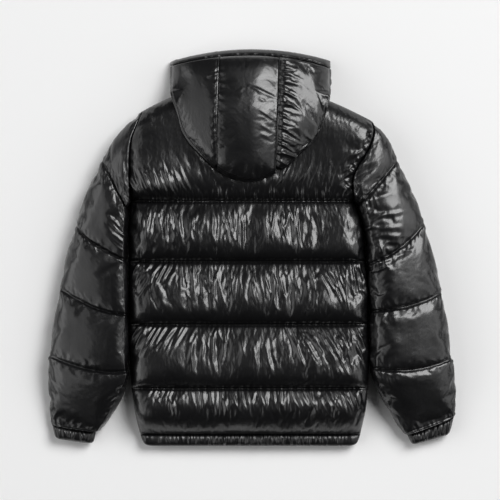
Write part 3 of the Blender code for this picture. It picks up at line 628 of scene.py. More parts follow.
def sagging(share, channel):
    """A channel's arch: a long slope from its upper line, and a steep fall to its lower."""
    down, fullest = 1 - share, FULLEST[channel]
    left = np.maximum(0, 1 - down / fullest)
    slope = 1 - left**SLOPE_CURVE
    upper = QUICK_RISE * rounded(down / RISE_SHARE) + (1 - QUICK_RISE) * slope
    past = share / (1 - fullest)
    lower = np.where(channel == 0, np.sin(past * math.pi / 2), rounded(past) ** 0.7)
    return np.where(down < fullest, upper, lower)


def back_shape(x, y, fullness=1.0):
    """Height of the back's cloth; a lower fullness is the start of the simulation."""
    k, share = channel_of(y)
    crest = np.where(k == 0, LOW_CHANNEL_LOFT, CHANNEL_LOFT)
    loft = STITCH_LOFT + fullness * (crest - STITCH_LOFT) * sagging(share, k)
    yoke = (y - YOKE_SEAM) / (top_y(x, BACK_NECK_DEPTH) - YOKE_SEAM)
    level = rounded(yoke / YOKE_RISE) * rounded((1 - yoke) / YOKE_FALL)
    high = STITCH_LOFT + mix(YOKE_START, 1, fullness) * (yoke_crest(y) - STITCH_LOFT) * level
    loft = np.where(y >= YOKE_SEAM, high, loft)
    for at_x, at_y, wide, high, more in BACK_SWELLS:
        calm = smooth(4 * share * (1 - share)) if at_y < YOKE_SEAM else level
        near = np.exp(-(((x - at_x) / wide) ** 2) - ((y - at_y) / high) ** 2)
        loft = loft + more * near * calm * ((y < YOKE_SEAM) == (at_y < YOKE_SEAM))
    inset, edge = seam_distance(x, y)
    loft = edge + (loft - edge) * rounded(inset / SIDE_ROUND)
    past = rounded((top_y(x, BACK_NECK_DEPTH) - y) / SHOULDER_ROUND)
    shoulder = EDGE_LOFT + (loft - EDGE_LOFT) * past
    return mid_plane(y) + SEAM_GAP / 2 + np.where(np.abs(x) > NECK_HALF, shoulder, loft)


print("back: fullest", (FULLEST * 100).round().tolist(), "% down its channels")

# %% [markdown]
# ## Folds of the back
#
# The back's cloth is gathered along every stitch line, so the folds stand across the
# lines: steep and dense towards the sides, and calmer in the middle. The tables have a
# row for each run of folds, and a channel is counted up from the hem. The simulation
# makes the folds themselves. The sharp small creases between them are finer than its
# grid, so they are drawn on the finished skin, in the same runs but closer together.

# %% Folds of the back
BACK_FOLDS = {
    # channel: runs of start x, end x, spacing, lean, near, far, height
    0: (
        (-209, -155, 11, -0.5, -8, 36, 2.4), (-178, -166, 9, 0.2, 16, 74, 3),
        (-133, -47, 13, 0.1, -4, 66, 2.2), (-26, 71, 13, 0.1, -8, 58, 2.0),
        (82, 222, 10, 0.4, -8, 66, 2.6),
    ),
    1: (
        (-236, -133, 11, -0.65, -8, 80, 2.8), (-130, -47, 17, -0.05, 8, 116, 2.6),
        (-25, 60, 22, 0.1, 20, 90, 1.6), (70, 228, 11, 0.55, -6, 120, 3.0),
    ),
    2: (
        (-239, -155, 10, -0.55, -8, 84, 2.8), (-155, -80, 9, 0.15, -8, 100, 2.6),
        (-76, -48, 16, 0.0, 20, 90, 1.2), (-46, -18, 9, 0.0, 10, 96, 2.4),
        (-6, 84, 11, 0.15, 6, 100, 2.6), (88, 124, 16, 0.2, -4, 70, 1.2),
        (124, 182, 10, 0.45, 4, 96, 2.6), (208, 232, 9, 0.1, -8, 130, 2.6),
    ),
    3: (
        (-235, -176, 9, -0.05, 8, 100, 2.8), (-176, -122, 12, 0.1, 10, 96, 2.0),
        (-118, -70, 14, 0.0, 20, 84, 1.4), (-70, -15, 9, 0.05, 14, 106, 2.6),
        (26, 104, 11, 0.05, 8, 108, 2.8), (110, 205, 20, 0.15, 20, 90, 0.9),
        (210, 232, 14, 0.0, -8, 130, 1.4),
    ),
}
# Faint folds everywhere, fanning out towards the sides
FINE_FOLDS = (
    (-238, -90, 9, -0.3, -8, 70, 0.4), (-90, 80, 9, 0.0, -8, 60, 0.3),
    (80, 232, 9, 0.3, -8, 70, 0.4),
)
YOKE_FOLDS = (
    # start x, end x, spacing, lean, near, far above the yoke seam, height
    (-240, 215, 8, 0.0, -6, 34, 1.8), (-248, -150, 8, -0.5, 4, 90, 2.6),
    (-180, -126, 10, -0.4, 10, 72, 1.7), (40, 104, 11, 0.5, 24, 84, 2.2),
    (112, 190, 14, 0.3, 20, 110, 0.7), (-246, 200, 15, 0.0, 60, 170, 0.3),
)
# Short puckers across the right armhole: start y, end y, and the rest as above
ARMHOLE_FOLDS = (
    (104, 262, 9, 0.7, -4, 22, 2.2), (104, 262, 14, -0.9, -4, 32, 2.0),
    (104, 200, 23, 0.3, 4, 40, 1.6),
)
# Where the back's cloth is cut fuller or closer than usual
BACK_SLACK = (
    # x, y, width, height, share
    (-190, 30, 60, 90, 0.03), (-170, -70, 80, 60, 0.04), (170, -220, 80, 60, 0.04),
    (170, -350, 90, 40, 0.04), (10, 40, 20, 60, -0.04), (20, -200, 40, 40, -0.02),
    (-90, -60, 20, 40, 0.02), (60, -90, 50, 50, 0.02), (235, -60, 16, 150, 0.04),
    (-170, 240, 90, 60, -0.03), (130, 200, 60, 60, -0.02), (226, 170, 22, 60, 0.05),
    (200, 262, 60, 30, -0.04),
)
# The small creases, as shares of the folds' spacing and height
CREASE_SPACING, CREASE_HEIGHT = 0.66, 0.36
# They begin over this many millimetres from a seam
CREASE_START = 12


def back_creases(x, y):
    """Heights of the small sharp creases, in the same runs as the folds."""
    channel, share = channel_of(y)
    total = 0 * x
    for k, runs in {**BACK_FOLDS, 4: YOKE_FOLDS}.items():
        finer_runs = [
            (start, end, CREASE_SPACING * gap, lean, near, far, CREASE_HEIGHT * high)
            for start, end, gap, lean, near, far, high in runs
        ]
        if k == 4:
            inside = (y > YOKE_SEAM) * smooth((y - YOKE_SEAM) / CREASE_START)
            total += inside * ridges(x, y - YOKE_SEAM, finer_runs, 35)
        else:
            inside = (channel == k) * (y < YOKE_SEAM) * smooth(12 * share * (1 - share))
            total += inside * ridges(x, STITCH_LINES[k + 1] - y, finer_runs, 30 + k)
    return total * smooth(seam_distance(x, y)[0] / CREASE_START)


def slack_map(x, y, base, spots):
    slack = np.full(x.shape, base)
    for at_x, at_y, wide, high, extra in spots:
        slack += extra * np.exp(-(((x - at_x) / wide) ** 2) - ((y - at_y) / high) ** 2)
    return np.clip(slack, 0.0, MOST_SLACK)


print("back: runs of folds", sum(map(len, BACK_FOLDS.values())), "and on the yoke", len(YOKE_FOLDS))

# %% Make the back
BACK_STEP, BACK_ROW_STEP = 1.7, 3.8
BACK_FINER = (1.28, 1.3)
BACK_FULLNESS, BACK_SLACK_BASE = 0.85, 0.022
# Half the shoulders' width, for an even spacing of the columns
SHOULDER_HALF = 240.0


def columns_across(step):
    """The back's columns from the left shoulder over the neck to the right one."""
    side_count = round((SHOULDER_HALF - NECK_HALF) / step)
    neck_count = round(2 * NECK_HALF / step)
    columns = [(-1, 1 - i / side_count) for i in range(side_count)]
    columns += [(0, mix(-NECK_HALF, NECK_HALF, i / neck_count)) for i in range(neck_count)]
    return columns + [(1, i / side_count) for i in range(side_count + 1)]


def pin_seams(held, levels, ring=False):
    """Adds to the held points a grid's edges, or a tube's ends, and its stitch lines."""
    held[[0, -1]] = True
    if not ring:
        held[:, [0, -1]] = True
    held[np.isin(levels, LINE_LEVELS)] = True
    return held


def make_back():
    levels = levels_of(BACK_ROW_STEP)
    x, y = body_grid(columns_across(BACK_STEP), levels, BACK_NECK_DEPTH)
    full = np.stack([x, y, back_shape(x, y)], -1)
    held = pin_seams(np.zeros(x.shape, bool), levels)
    channel, _ = channel_of(y)
    lift = ridges(x, y - YOKE_SEAM, YOKE_FOLDS, 5) * (y > YOKE_SEAM)
    inset, _ = seam_distance(x, y)
    lift += ridges(y, inset, ARMHOLE_FOLDS, 31) * (x > 0) * (y > YOKE_SEAM)
    for k, runs in BACK_FOLDS.items():
        inside = (channel == k) & (y < YOKE_SEAM)
        lift += inside * ridges(x, STITCH_LINES[k + 1] - y, runs, 10 + k)
        lift += inside * ridges(x, STITCH_LINES[k + 1] - y, FINE_FOLDS, 20 + k)
    lift += np.random.default_rng(3).normal(0, 0.2, x.shape)
    start = full.copy()
    start[..., 2] = back_shape(x, y, BACK_FULLNESS)
    slack = slack_map(x, y, BACK_SLACK_BASE, BACK_SLACK)
    skin = crumple(start, lift, full, held, slack)
    skin[..., 2] = np.maximum(skin[..., 2], mid_plane(skin[..., 1]) + 2)
    lines = [skin[row] for row in np.flatnonzero(np.isin(levels, LINE_LEVELS))]
    skin = finer(skin, BACK_FINER)
    skin[..., 2] += back_creases(skin[..., 0], skin[..., 1])
    lining = mid_plane(skin[..., 1]) + SEAM_GAP / 2
    piece = closed_panel("back_panel", skin, lining, gathered_nylon)
    fit(piece, "shell", "back")
    return lines


quilt_lines = make_back()
print("back: quilt lines", len(quilt_lines), "each of", len(quilt_lines[0]), "points")

# %% [markdown]
# ## The fronts
#
# The fronts carry the same channels, but the jacket lies on them, so the floor presses
# them flat between the stitch lines. Each channel is a plump arch turned over and cut
# off at the floor. What lies on the floor is held, so only the cloth that rises to the
# seams can crumple.

# %% Shape of the fronts
FRONT_STEP, FRONT_WIDTH, FRONT_SLACK = 5.0, 154.0, 0.06
# A point lower than this lies on the floor and can't move
ON_FLOOR = 0.2


def front_shape(x, y):
    plane = mid_plane(y) - SEAM_GAP / 2
    share = channel_of(y)[1]
    yoke = (y - YOKE_SEAM) / (top_y(x, FRONT_NECK_DEPTH) - YOKE_SEAM)
    share = np.where(y >= YOKE_SEAM, yoke, share)
    loft = np.minimum(plane, STITCH_LOFT + FRONT_LOFT * puff(share))
    inset, edge = seam_distance(x, y)
    loft = edge + (loft - edge) * rounded(inset / FLOOR_ROUND)
    past = rounded((top_y(x, FRONT_NECK_DEPTH) - y) / FLOOR_ROUND)
    shoulder = EDGE_LOFT + (loft - EDGE_LOFT) * past
    return np.maximum(0, plane - np.where(np.abs(x) > NECK_HALF, shoulder, loft))


print("fronts: pressed flat below", MID_PLANE, "mm of padding")


# %% Make the fronts
def make_front(side):
    levels = levels_of(FRONT_STEP)
    side_count, neck_count = round(FRONT_WIDTH / FRONT_STEP), round(NECK_HALF / FRONT_STEP) + 4
    columns = [(side, 1 - i / side_count) for i in range(side_count)]
    turns = np.linspace(math.pi / 2, math.asin(ZIP_HALF / NECK_HALF), neck_count + 1)
    columns += [(0, side * NECK_HALF * math.sin(turn)) for turn in turns]
    x, y = body_grid(columns, levels, FRONT_NECK_DEPTH)
    full = np.stack([x, y, front_shape(x, y)], -1)
    held = pin_seams(full[..., 2] < ON_FLOOR, levels)
    lift = np.random.default_rng(30 + side).normal(0, 0.5, x.shape)
    skin = crumple(full, lift, full, held, np.full(x.shape, FRONT_SLACK), facing=-1)
    skin[..., 2] = np.clip(skin[..., 2], 0, mid_plane(skin[..., 1]) - 2)
    skin = finer(skin, (1.6, 1.6))
    skin[..., 2] = np.maximum(skin[..., 2], 0)
    lining = mid_plane(skin[..., 1]) - SEAM_GAP / 2
    name = "front_" + SIDES[side]
    piece = closed_panel(name + "_panel", skin, lining, nylon)
    fit(piece, "shell", name)
    return len(piece.data.polygons)


print("fronts: faces", [make_front(side) for side in SIDES])

# %% [markdown]
# ## The sleeves
#
# A sleeve is a tube of rings. Each ring runs from the outer fold across the top to the
# inner fold and back along the floor. The quilt lines are five of those rings, and they
# are not straight: the table gives each one's outer, middle and inner point, as the
# sleeve bends while it lies. The filling lies near the inner side, so a sleeve's top
# slopes away to its outer fold. The sleeves are stuffed harder than the back, so their
# quilt lines are shallow grooves, and their cloth only puckers close to them.

# %% Sleeve sizes
SLEEVES = {
    # outer x, y, middle x, y, inner x, y, how far the padding pushes out and in
    -1: (
        (-321, 186, -297, 138, -268, 83, 6, 0),
        (-376, 48, -344, 12, -270, -27, 5, 1),
        (-411, -88, -336, -130, -268, -143, 4, 0.5),
        (-434, -232, -346, -262, -268, -264, 7.5, 13),
        (-429, -384, -382, -391, -336, -397, 0, 0),
    ),
    1: (
        (311, 187, 273, 140, 229, 92, 5, -2.5),
        (369, 52, 318, 0, 249, -36, 4, 0.5),
        (406, -95, 343, -123, 254, -137, 4, 0.5),
        (428, -239, 343, -262, 255, -257, 8, 10),
        (434, -366, 385, -386, 335, -403, 0, 0),
    ),
}
# The same for the sleeve head, above the first quilt line
SLEEVE_HEAD_PUSH = {-1: 9.0, 1: 8.0}
# A point that is pushed out also moves towards the hood, by this share of the way
PUSH_LEAN = 0.4
SLEEVE_STITCH_LOFT, SLEEVE_LOFT = 30.0, 43.0
# The sleeve is highest near its inner side and falls away gently to its outer fold
OUTER_ROUND, OUTER_SLOPE, INNER_ROUND = 118.0, 0.35, {-1: 5.0, 1: 16.0}
SLEEVE_ROW_STEP, SLEEVE_COLUMNS, SLEEVE_ARCH = 3.6, 104, 0.17
SLEEVE_CHANNELS = (110, 130, 133, 138, 140)


def bow(row, share):
    """Points on the parabola through a row's outer, middle and inner point."""
    weights = ((1 - share) * (1 - 2 * share), 4 * share * (1 - share), share * (2 * share - 1))
    return [sum(w * row[2 * i + axis] for i, w in enumerate(weights)) for axis in (0, 1)]


def sleeve_ring(side, number, share):
    if number > 0:
        return bow(SLEEVES[side][number - 1], share)
    y = mix(SHOULDER_POINT[side][1], YOKE_SEAM, share)
    return [side_x(side, y) + side * SEAM_GAP, y]


def sleeve_plan(side, level, share):
    """Plan of one row of sleeve points, at a level counted in quilt lines."""
    k = min(int(level), 4)
    part = level - k
    ends = zip(sleeve_ring(side, k, share), sleeve_ring(side, k + 1, share))
    x, y = (mix(start, end, part) for start, end in ends)
    push_out, push_in = SLEEVES[side][k - 1][6:] if k else (SLEEVE_HEAD_PUSH[side], 0.0)
    reach = mix(push_out, -push_in, share) * (4 * part * (1 - part)) ** (0.5 if k == 4 else 1)
    return x + side * reach, y + PUSH_LEAN * reach


def sleeve_rings(side, levels, fullness=1.0):
    turn, share = tube_turns(SLEEVE_COLUMNS)
    rings = []
    for level in levels:
        plane = mix(MID_PLANE, CUFF_PLANE, smooth(level - 4))
        k = min(int(level), 4)
        stitch = mix(ARMHOLE_LOFT, SLEEVE_STITCH_LOFT, smooth(level / 0.1))
        x, y = sleeve_plan(side, level, share)
        width = math.dist((x[0], y[0]), (x[SLEEVE_COLUMNS // 2], y[SLEEVE_COLUMNS // 2]))
        inset = np.minimum(share, 1 - share) * width
        arch = fullness * puff(level - k) ** SLEEVE_ARCH
        crest = stitch + (SLEEVE_LOFT * plane / MID_PLANE - stitch) * arch
        out = share * width / OUTER_ROUND
        fall = mix(rounded(out), np.minimum(out, 1), OUTER_SLOPE)
        fall = fall * rounded((1 - share) * width / INNER_ROUND[side])
        depth = np.minimum(plane, stitch + (FRONT_LOFT - stitch) * puff(level - k))
        top_plane = mix(MID_PLANE, CUFF_PLANE, max(0.0, level - 4))
        up = top_plane + crest * fall
        down = np.maximum(0, plane - depth * rounded(inset / FLOOR_ROUND))
        rings.append(np.stack([x, y, np.where(turn < math.pi, up, down)], -1))
    return np.array(rings)


print("sleeves:", sum(SLEEVE_CHANNELS), "mm along the outer fold")

# %% Make the sleeves
SLEEVE_FOLDS = {
    # side: quilt line, share across, spacing in mm, lean, near, far, height
    -1: ((0, 300, 9, 0.1, 1, 13, 1.6), (40, 120, 8, -0.2, 0, 26, 1.4)),
    1: ((0, 300, 10, 0.1, 1, 15, 2.0), (130, 240, 9, 0.2, 0, 42, 2.4)),
}
# Puckers across the inner side: millimetres down the sleeve, then as above
SLEEVE_INNER_FOLDS = {
    -1: ((112, 225, 9, -0.2, -4, 36, 2.0),),
    1: ((104, 262, 8, 0.1, -4, 46, 2.8), (120, 236, 14, 0.6, 6, 80, 2.2)),
}
SLEEVE_SLACK_BASE, SLEEVE_FULLNESS = 0.02, 0.92
SLEEVE_SLACK = {
    # x, y, width, height, share
    -1: ((-285, 60, 30, 60, 0.03), (-262, -140, 40, 150, -0.02)),
    1: ((240, 180, 40, 90, 0.01), (292, 34, 34, 44, 0.05), (262, -120, 30, 80, 0.03)),
}
# Puckers reach this far from a quilt line; a ring's points lie about so far apart
PUCKER_REACH, COLUMN_STEP, SLEEVE_WIDTH = 60.0, 4.0, 105.0


def make_sleeve(side):
    counts = [round(length / SLEEVE_ROW_STEP) for length in SLEEVE_CHANNELS]
    levels = [k + i / count for k, count in enumerate(counts) for i in range(count)] + [5.0]
    full = sleeve_rings(side, levels)
    held = pin_seams(full[..., 2] < ON_FLOOR, levels, ring=True)
    level = np.array(levels)[:, None]
    along = np.arange(SLEEVE_COLUMNS)[None, :] * COLUMN_STEP
    length = np.array(SLEEVE_CHANNELS)[np.minimum(level.astype(int), 4)]
    lift = 0
    for line in range(6):
        for way, seed in ((1, 40), (-1, 50)):
            away = way * (level - line) * length
            here = (away >= 0) & (away < PUCKER_REACH)
            lift = lift + here * ridges(along, away, SLEEVE_FOLDS[side], seed + line)
    far_down = np.interp(level, range(6), np.cumsum((0, *SLEEVE_CHANNELS)))
    inner = (1 - tube_turns(SLEEVE_COLUMNS)[1]) * SLEEVE_WIDTH
    lift = lift + ridges(far_down, inner, SLEEVE_INNER_FOLDS[side], 65)
    lift += np.random.default_rng(60 + side).normal(0, 0.15, held.shape)
    start = sleeve_rings(side, levels, SLEEVE_FULLNESS)
    slack = slack_map(full[..., 0], full[..., 1], SLEEVE_SLACK_BASE, SLEEVE_SLACK[side])
    skin = crumple(start, lift, full, held, slack, ring=True)
    line_rows = np.flatnonzero(np.isin(levels, LINE_LEVELS))
    lines = [skin[row, 1 : SLEEVE_COLUMNS // 2] for row in line_rows]
    skin = finer(skin, (1.5, 1.5), ring=True)
    skin[..., 2] = np.maximum(skin[..., 2], 0)
    name = "sleeve_" + SIDES[side]
    piece = closed_tube(name + "_tube", skin, gathered_nylon)
    fit(piece, "shell", name)
    return lines


quilt_lines += make_sleeve(-1) + make_sleeve(1)
print("quilt lines so far:", len(quilt_lines))

# %% [markdown]
# ## The hood
#
# The hood has three pieces: a long centre strip, the gusset, and two sides that end in
# a point under the crown. It lies folded flat on the yoke, its mouth towards the top
# edge. Each piece is a tube of rows again: a row starts at a seam, runs over the top,
# rolls round the folded edge and comes back below. The under layer peeps out a few
# millimetres past the upper one, which gives the hood its double outline. Past the
# neckline there is nothing to lie on, so there the gusset is one padded layer that
# closes the open neck from above.

# %% Hood sizes
HOOD_OUTLINE = np.array((
    # x, y from the left corner round the crown to the right corner
    (-176, 400), (-177, 370), (-176, 338), (-173, 322), (-165, 298), (-148, 244),
    (-116, 203), (-75, 166), (-47, 150), (0, 141), (44, 155), (79, 175), (116, 210),
    (144, 244), (162, 298), (168, 322), (170, 338), (171, 370), (170, 396),
), float)
GUSSET_SEAMS = {
    # y, x
    -1: ((406, -69), (326, -72), (238, -75), (166, -74)),
    1: ((406, 58), (326, 55), (238, 52), (161, 51)),
}
HOOD_HEIGHTS = (
    # y, z along the centre line
    (130, 107), (170, 111), (215, 112), (250, 112), (285, 110), (310, 105), (335, 98),
    (360, 90), (380, 83), (397, 75), (405, 69), (412, 60),
)
# The rim's seam and its edge both bow down towards the sides
RIM_SEAM_TOP, RIM_EDGE_TOP, RIM_EDGE_DROP, RIM_HALF = 411.0, 427.0, 26.0, 174.0
RIM_DROP = {-1: 20.0, 1: 27.0}
HOOD_ROUND, HOOD_LEAST, HOOD_EDGE_SHARE = 48.0, 8.0, 0.36
# The hood is level as far as HOOD_LEVEL from its middle, and has fallen by a share of
# its height HOOD_HALF away; its bed ends over a short way past the neckline
HOOD_MIDDLE, HOOD_HALF, HOOD_LEVEL, HOOD_FALL, BED_END = -8.0, 162.0, 60.0, 0.3, 50.0
HOOD_CURVE = 1.15
# The seams lie in grooves: depth, width on the left of the seam, width on its right
GUSSET_DIPS = {-1: (3.5, 6.0, 12.0), 1: (11.0, 27.0, 8.0)}
# The under layer shows this far outside the upper one, which starts a step above it
PEEP, PEEP_STEP = 5.0, 5.0
# Past the neckline the gusset is one padded layer, this thick, over the open neck
LINING_COUNT, LINING_DROP = 7, 20.0


def outline_runs():
    steps = np.linalg.norm(np.diff(HOOD_OUTLINE, axis=0), axis=1)
    return np.concatenate([[0], np.cumsum(steps)])


def outline_inset(x, y):
    """Distance from plan points to the hood's folded outline."""
    best = np.full(x.shape, 1e9)
    for (ax, ay), (bx, by) in zip(HOOD_OUTLINE, HOOD_OUTLINE[1:]):
        run = (bx - ax) ** 2 + (by - ay) ** 2
        t = np.clip(((x - ax) * (bx - ax) + (y - ay) * (by - ay)) / run, 0, 1)
        best = np.minimum(best, np.hypot(x - mix(ax, bx, t), y - mix(ay, by, t)))
    return best


def rim_seam_y(x):
    drop = np.where(x < 0, RIM_DROP[-1], RIM_DROP[1])
    return RIM_SEAM_TOP - drop * (x / RIM_HALF) ** 2


def hood_heights(x, y):
    """Heights of what the hood lies on, of its folded edge and of its crest."""
    past = y - np.where(np.abs(x) < NECK_HALF, NECK_POINT, top_y(x, BACK_NECK_DEPTH))
    bed = MID_PLANE + yoke_crest(y) + 2.5 * SEAM_GAP
    low = bed * (1 - smooth((past - 4) / BED_END))
    high = follow(HOOD_HEIGHTS, y)
    for side, (depth, left, right) in GUSSET_DIPS.items():
        past_seam = x - follow(GUSSET_SEAMS[side], y)
        width = np.where(past_seam < 0, left, right)
        high = high - depth * np.exp(-((past_seam / width) ** 2))
    out = np.maximum(0, np.abs(x - HOOD_MIDDLE) - HOOD_LEVEL) / (HOOD_HALF - HOOD_LEVEL)
    high = np.maximum(high * (1 - HOOD_FALL * out**HOOD_CURVE), low + HOOD_LEAST)
    return low, mix(low, high, HOOD_EDGE_SHARE), high


crown_heights = hood_heights(np.array(0.0), np.array(HOOD_OUTLINE[:, 1].min()))
print("hood: bed, folded edge and crest at the crown", np.round(crown_heights), "mm")

# %% Rows of the hood
TOP_COUNT, CENTRE_TOP_COUNT, SIDE_ROWS, CENTRE_ROWS = 46, 88, 84, 44
SIDE_UNDER, CENTRE_UNDER = 14, 26
# The outline's points next to the sides' tips, and how far past them a side goes
HOOD_TIPS, HOOD_TIP_MORE = {-1: 7, 1: 11}, {-1: -8, 1: 14}
FOLD_STEPS = (PEEP * 0.9, PEEP * 0.35, 0.0, PEEP * 0.3)
FOLD_LEVELS = (0.95, 0.75, 0.5, 0.25)


def fold_heights(plan, top_count):
    """Heights along hood rows: the upper layer, the fold's four points, the under layer."""
    x, y = plan[..., 0], plan[..., 1]
    low, edge, high = hood_heights(x, y)
    inset = outline_inset(x, y)
    raised = edge + PEEP_STEP * smooth(inset / 4)
    top = raised + (high - raised) * rounded((inset - PEEP) / HOOD_ROUND)
    bottom = edge - (edge - low) * rounded(inset / FLOOR_ROUND)
    column = np.arange(plan.shape[1])
    height = np.where(column < top_count, top, np.minimum(bottom, edge - 1))
    for number, level in enumerate(FOLD_LEVELS):
        at = top_count + number
        height[:, at] = mix(low[:, at], edge[:, at], level)
    return height


def row_steps(top_count, under_count, length):
    """Steps along a row whose seam end is 1 and whose folded edge is 0."""
    top = mix(1, PEEP / length, np.linspace(0, 1, top_count) ** 0.85)
    fold = np.array(FOLD_STEPS) / length
    return top, fold, mix(PEEP * 0.8 / length, 1, np.linspace(0, 1, under_count) ** 1.5)


def side_rings(side, parts):
    runs = outline_runs()
    table = np.column_stack([runs, HOOD_OUTLINE])
    seam = GUSSET_SEAMS[side]
    start = HOOD_OUTLINE[0 if side < 0 else -1][1] - rim_seam_y(side * RIM_HALF) + 1.5
    end = abs(runs[HOOD_TIPS[side]] - runs[0 if side < 0 else -1]) + HOOD_TIP_MORE[side]
    plans = []
    for part in parts:
        run = mix(start, end, part)
        run = run if side < 0 else runs[-1] - run
        edge = np.array((follow(table, run, 1), follow(table, run, 2)))
        seam_y = mix(rim_seam_y(seam[0][1]) - SEAM_GAP, seam[-1][0] + 12, part)
        inside = np.array((follow(seam, seam_y) + side * SEAM_GAP, seam_y))
        length = math.dist(edge, inside)
        steps = np.concatenate(row_steps(TOP_COUNT, SIDE_UNDER, length))
        plan = edge + (inside - edge) * steps[:, None]
        if part == 0:
            plan[:, 1] = rim_seam_y(plan[:, 0]) - SEAM_GAP * mix(5, 1, steps)
        plans.append(plan)
    plans = np.array(plans)
    return np.concatenate([plans, fold_heights(plans, TOP_COUNT)[..., None]], -1)


def centre_rings(parts):
    """The gusset as rows along its length, each from the rim over the crown and back."""
    crown = HOOD_OUTLINE[(np.abs(HOOD_OUTLINE[:, 0] - 2) < 80) & (HOOD_OUTLINE[:, 1] < 200)]
    plans = []
    for part in parts:
        edge_y = follow(crown, mix(-74, 51, part))

        def seam_x(y):
            left = follow(GUSSET_SEAMS[-1], y) + SEAM_GAP
            return mix(left, follow(GUSSET_SEAMS[1], y) - SEAM_GAP, part)

        reach = rim_seam_y(seam_x(RIM_SEAM_TOP)) - SEAM_GAP - edge_y
        neck = (top_y(seam_x(NECK_POINT), BACK_NECK_DEPTH) - 3 - edge_y) / reach
        top, fold, under = row_steps(CENTRE_TOP_COUNT, CENTRE_UNDER, reach)
        under = under[0] + (neck - under[0]) * under
        lining = np.linspace(neck, 1, LINING_COUNT + 1)[1:]
        y = edge_y + reach * np.concatenate([top, fold, under, lining])
        plans.append(np.stack([seam_x(y), y], -1))
    plans = np.array(plans)
    height = fold_heights(plans, CENTRE_TOP_COUNT)
    past = plans[:, -LINING_COUNT:]
    height[:, -LINING_COUNT:] = hood_heights(past[..., 0], past[..., 1])[2] - LINING_DROP
    return np.concatenate([plans, height[..., None]], -1)


print("hood: folded edge", round(outline_runs()[-1]), "mm long")

# %% Make the hood
HOOD_FOLDS = {
    # start, end, spacing, lean, near, far, height: along the seam and away from it
    -1: ((20, 60, 16, 0.2, -6, 26, 2.2), (90, 230, 24, 0.1, -6, 20, 1.8)),
    1: (
        (4, 240, 12, 0.1, -8, 62, 2.8), (14, 230, 19, -0.4, -8, 46, 2.2),
        (40, 230, 34, 0.5, 30, 90, 0.7),
    ),
}
CENTRE_FOLDS = (
    (60, 70, 22, 0.4, 54, 134, 1.8), (74, 108, 13, 0.5, 64, 134, 1.5),
    (108, 170, 17, 0.6, 84, 134, 0.8), (90, 140, 40, -0.6, 20, 90, 1.0),
    (10, 250, 21, 0.1, -8, 16, 1.6),
)
# The right side of the hood is crumpled, and its left side is nearly smooth
HOOD_SLACK, SIDE_SEAM_LENGTH = {-1: 0.005, 0: 0.012, 1: 0.03}, 250.0


def settle_hood(node, full, top_count, lift, slack, tied=-1):
    """Crumples one hood piece; returns its seam side, from the rim to its tip."""
    name = node + "_panel"
    held = np.zeros(full.shape[:2], bool)
    held[[0, -1]] = True
    held[:, [0, -1, top_count, tied]] = True
    lift = lift * (np.arange(held.shape[1]) < top_count)
    lift = lift + np.random.default_rng(len(name)).normal(0, 0.1, held.shape)
    skin = crumple(full, lift, full, held, np.full(held.shape, slack), ring=True)
    seam = skin[:, 0]
    skin = finer(skin, (1.7, 1.7), ring=True)
    skin[..., 2] = np.maximum(skin[..., 2], 0)
    fit(closed_tube(name, skin, nylon), "shell", node)
    return seam


def make_hood_side(side):
    full = side_rings(side, np.linspace(0, 1, SIDE_ROWS))
    along = np.linspace(0, SIDE_SEAM_LENGTH, SIDE_ROWS)[:, None]
    away = np.hypot(*(full[..., :2] - full[:, :1, :2]).transpose(2, 0, 1))
    lift = ridges(along, away, HOOD_FOLDS[side], 70 + side)
    return settle_hood("hood_" + SIDES[side], full, TOP_COUNT, lift, HOOD_SLACK[side])


def make_hood_centre():
    full = centre_rings(np.linspace(0, 1, CENTRE_ROWS))
    along = RIM_SEAM_TOP - full[..., 1]
    away = full[..., 0] - full[:1, :, 0]
    lift = ridges(along, away, CENTRE_FOLDS, 75)
    neck = -LINING_COUNT - 1
    settle_hood("hood_centre", full, CENTRE_TOP_COUNT, lift, HOOD_SLACK[0], neck)


hood_seams = [make_hood_side(-1), make_hood_side(1)]
make_hood_centre()
print("hood: three pieces, crown at", HOOD_OUTLINE[:, 1].min(), "mm")

# %% [markdown]
# ## Gathered bands: hem, cuffs and the hood's rim
#
# An elastic band is a casing of the same nylon, sewn flat while the elastic in it is
# stretched. When the elastic pulls back, the casing crowds into fine ridges across it.
# They are too small and too regular for the simulation, so they are drawn as ridges on
# a tube of rings. The hem's ridges crowd in the middle and fade towards the sides. The
# rim goes all round the hood's mouth, which lies shut: its two halves lie on each other,
# with a fold between them at half their height.

# %% Bands
HEM_LOFT, HEM_FOLD, HEM_TAPER, HEM_STEPS = 12.0, 8.0, 5.5, 760
CUFF_LOFT, CUFF_OPEN, CUFF_COUNT, CUFF_WIDTH = 15.0, 4.0, 240, 88.0
RIM_LEFT, RIM_RIGHT, RIM_EDGE, RIM_CREST, RIM_FOLD = -175.5, 169.0, 36.0, 57.0, 6.0
RIM_SECTIONS, RIM_SIDES = 170, 36
# Their outer corners rise by so much, over this width
CUFF_CORNER, CUFF_CORNER_WIDTH, HEM_CORNER, HEM_CORNER_WIDTH = 9.0, 14.0, 11.0, 20.0
# A casing rounds off to its folded sides over this share of its thickness
SIDE_BULGE = 1.3
CUFF_HEIGHT, CUFF_FOLD, HEM_HEIGHT = 24.0, 7.0, 25.0
# Moves the underside's gathers along the hem, so that they differ from the top's
UNDER_SHIFT = 500.0
# The rim's seam lies this far across it, in a groove so wide and deep
RIM_LINE, RIM_LINE_WIDTH, RIM_LINE_DEPTH = 0.2, 0.07, 2.4
CUFF_ENDS = {-1: ((-425, -411), (-340, -423)), 1: ((427, -402), (342, -426))}
BAND_STEPS = np.array((0, 0.08, 0.16, 0.26, 0.38, 0.5, 0.62, 0.74, 0.84, 0.92, 1))
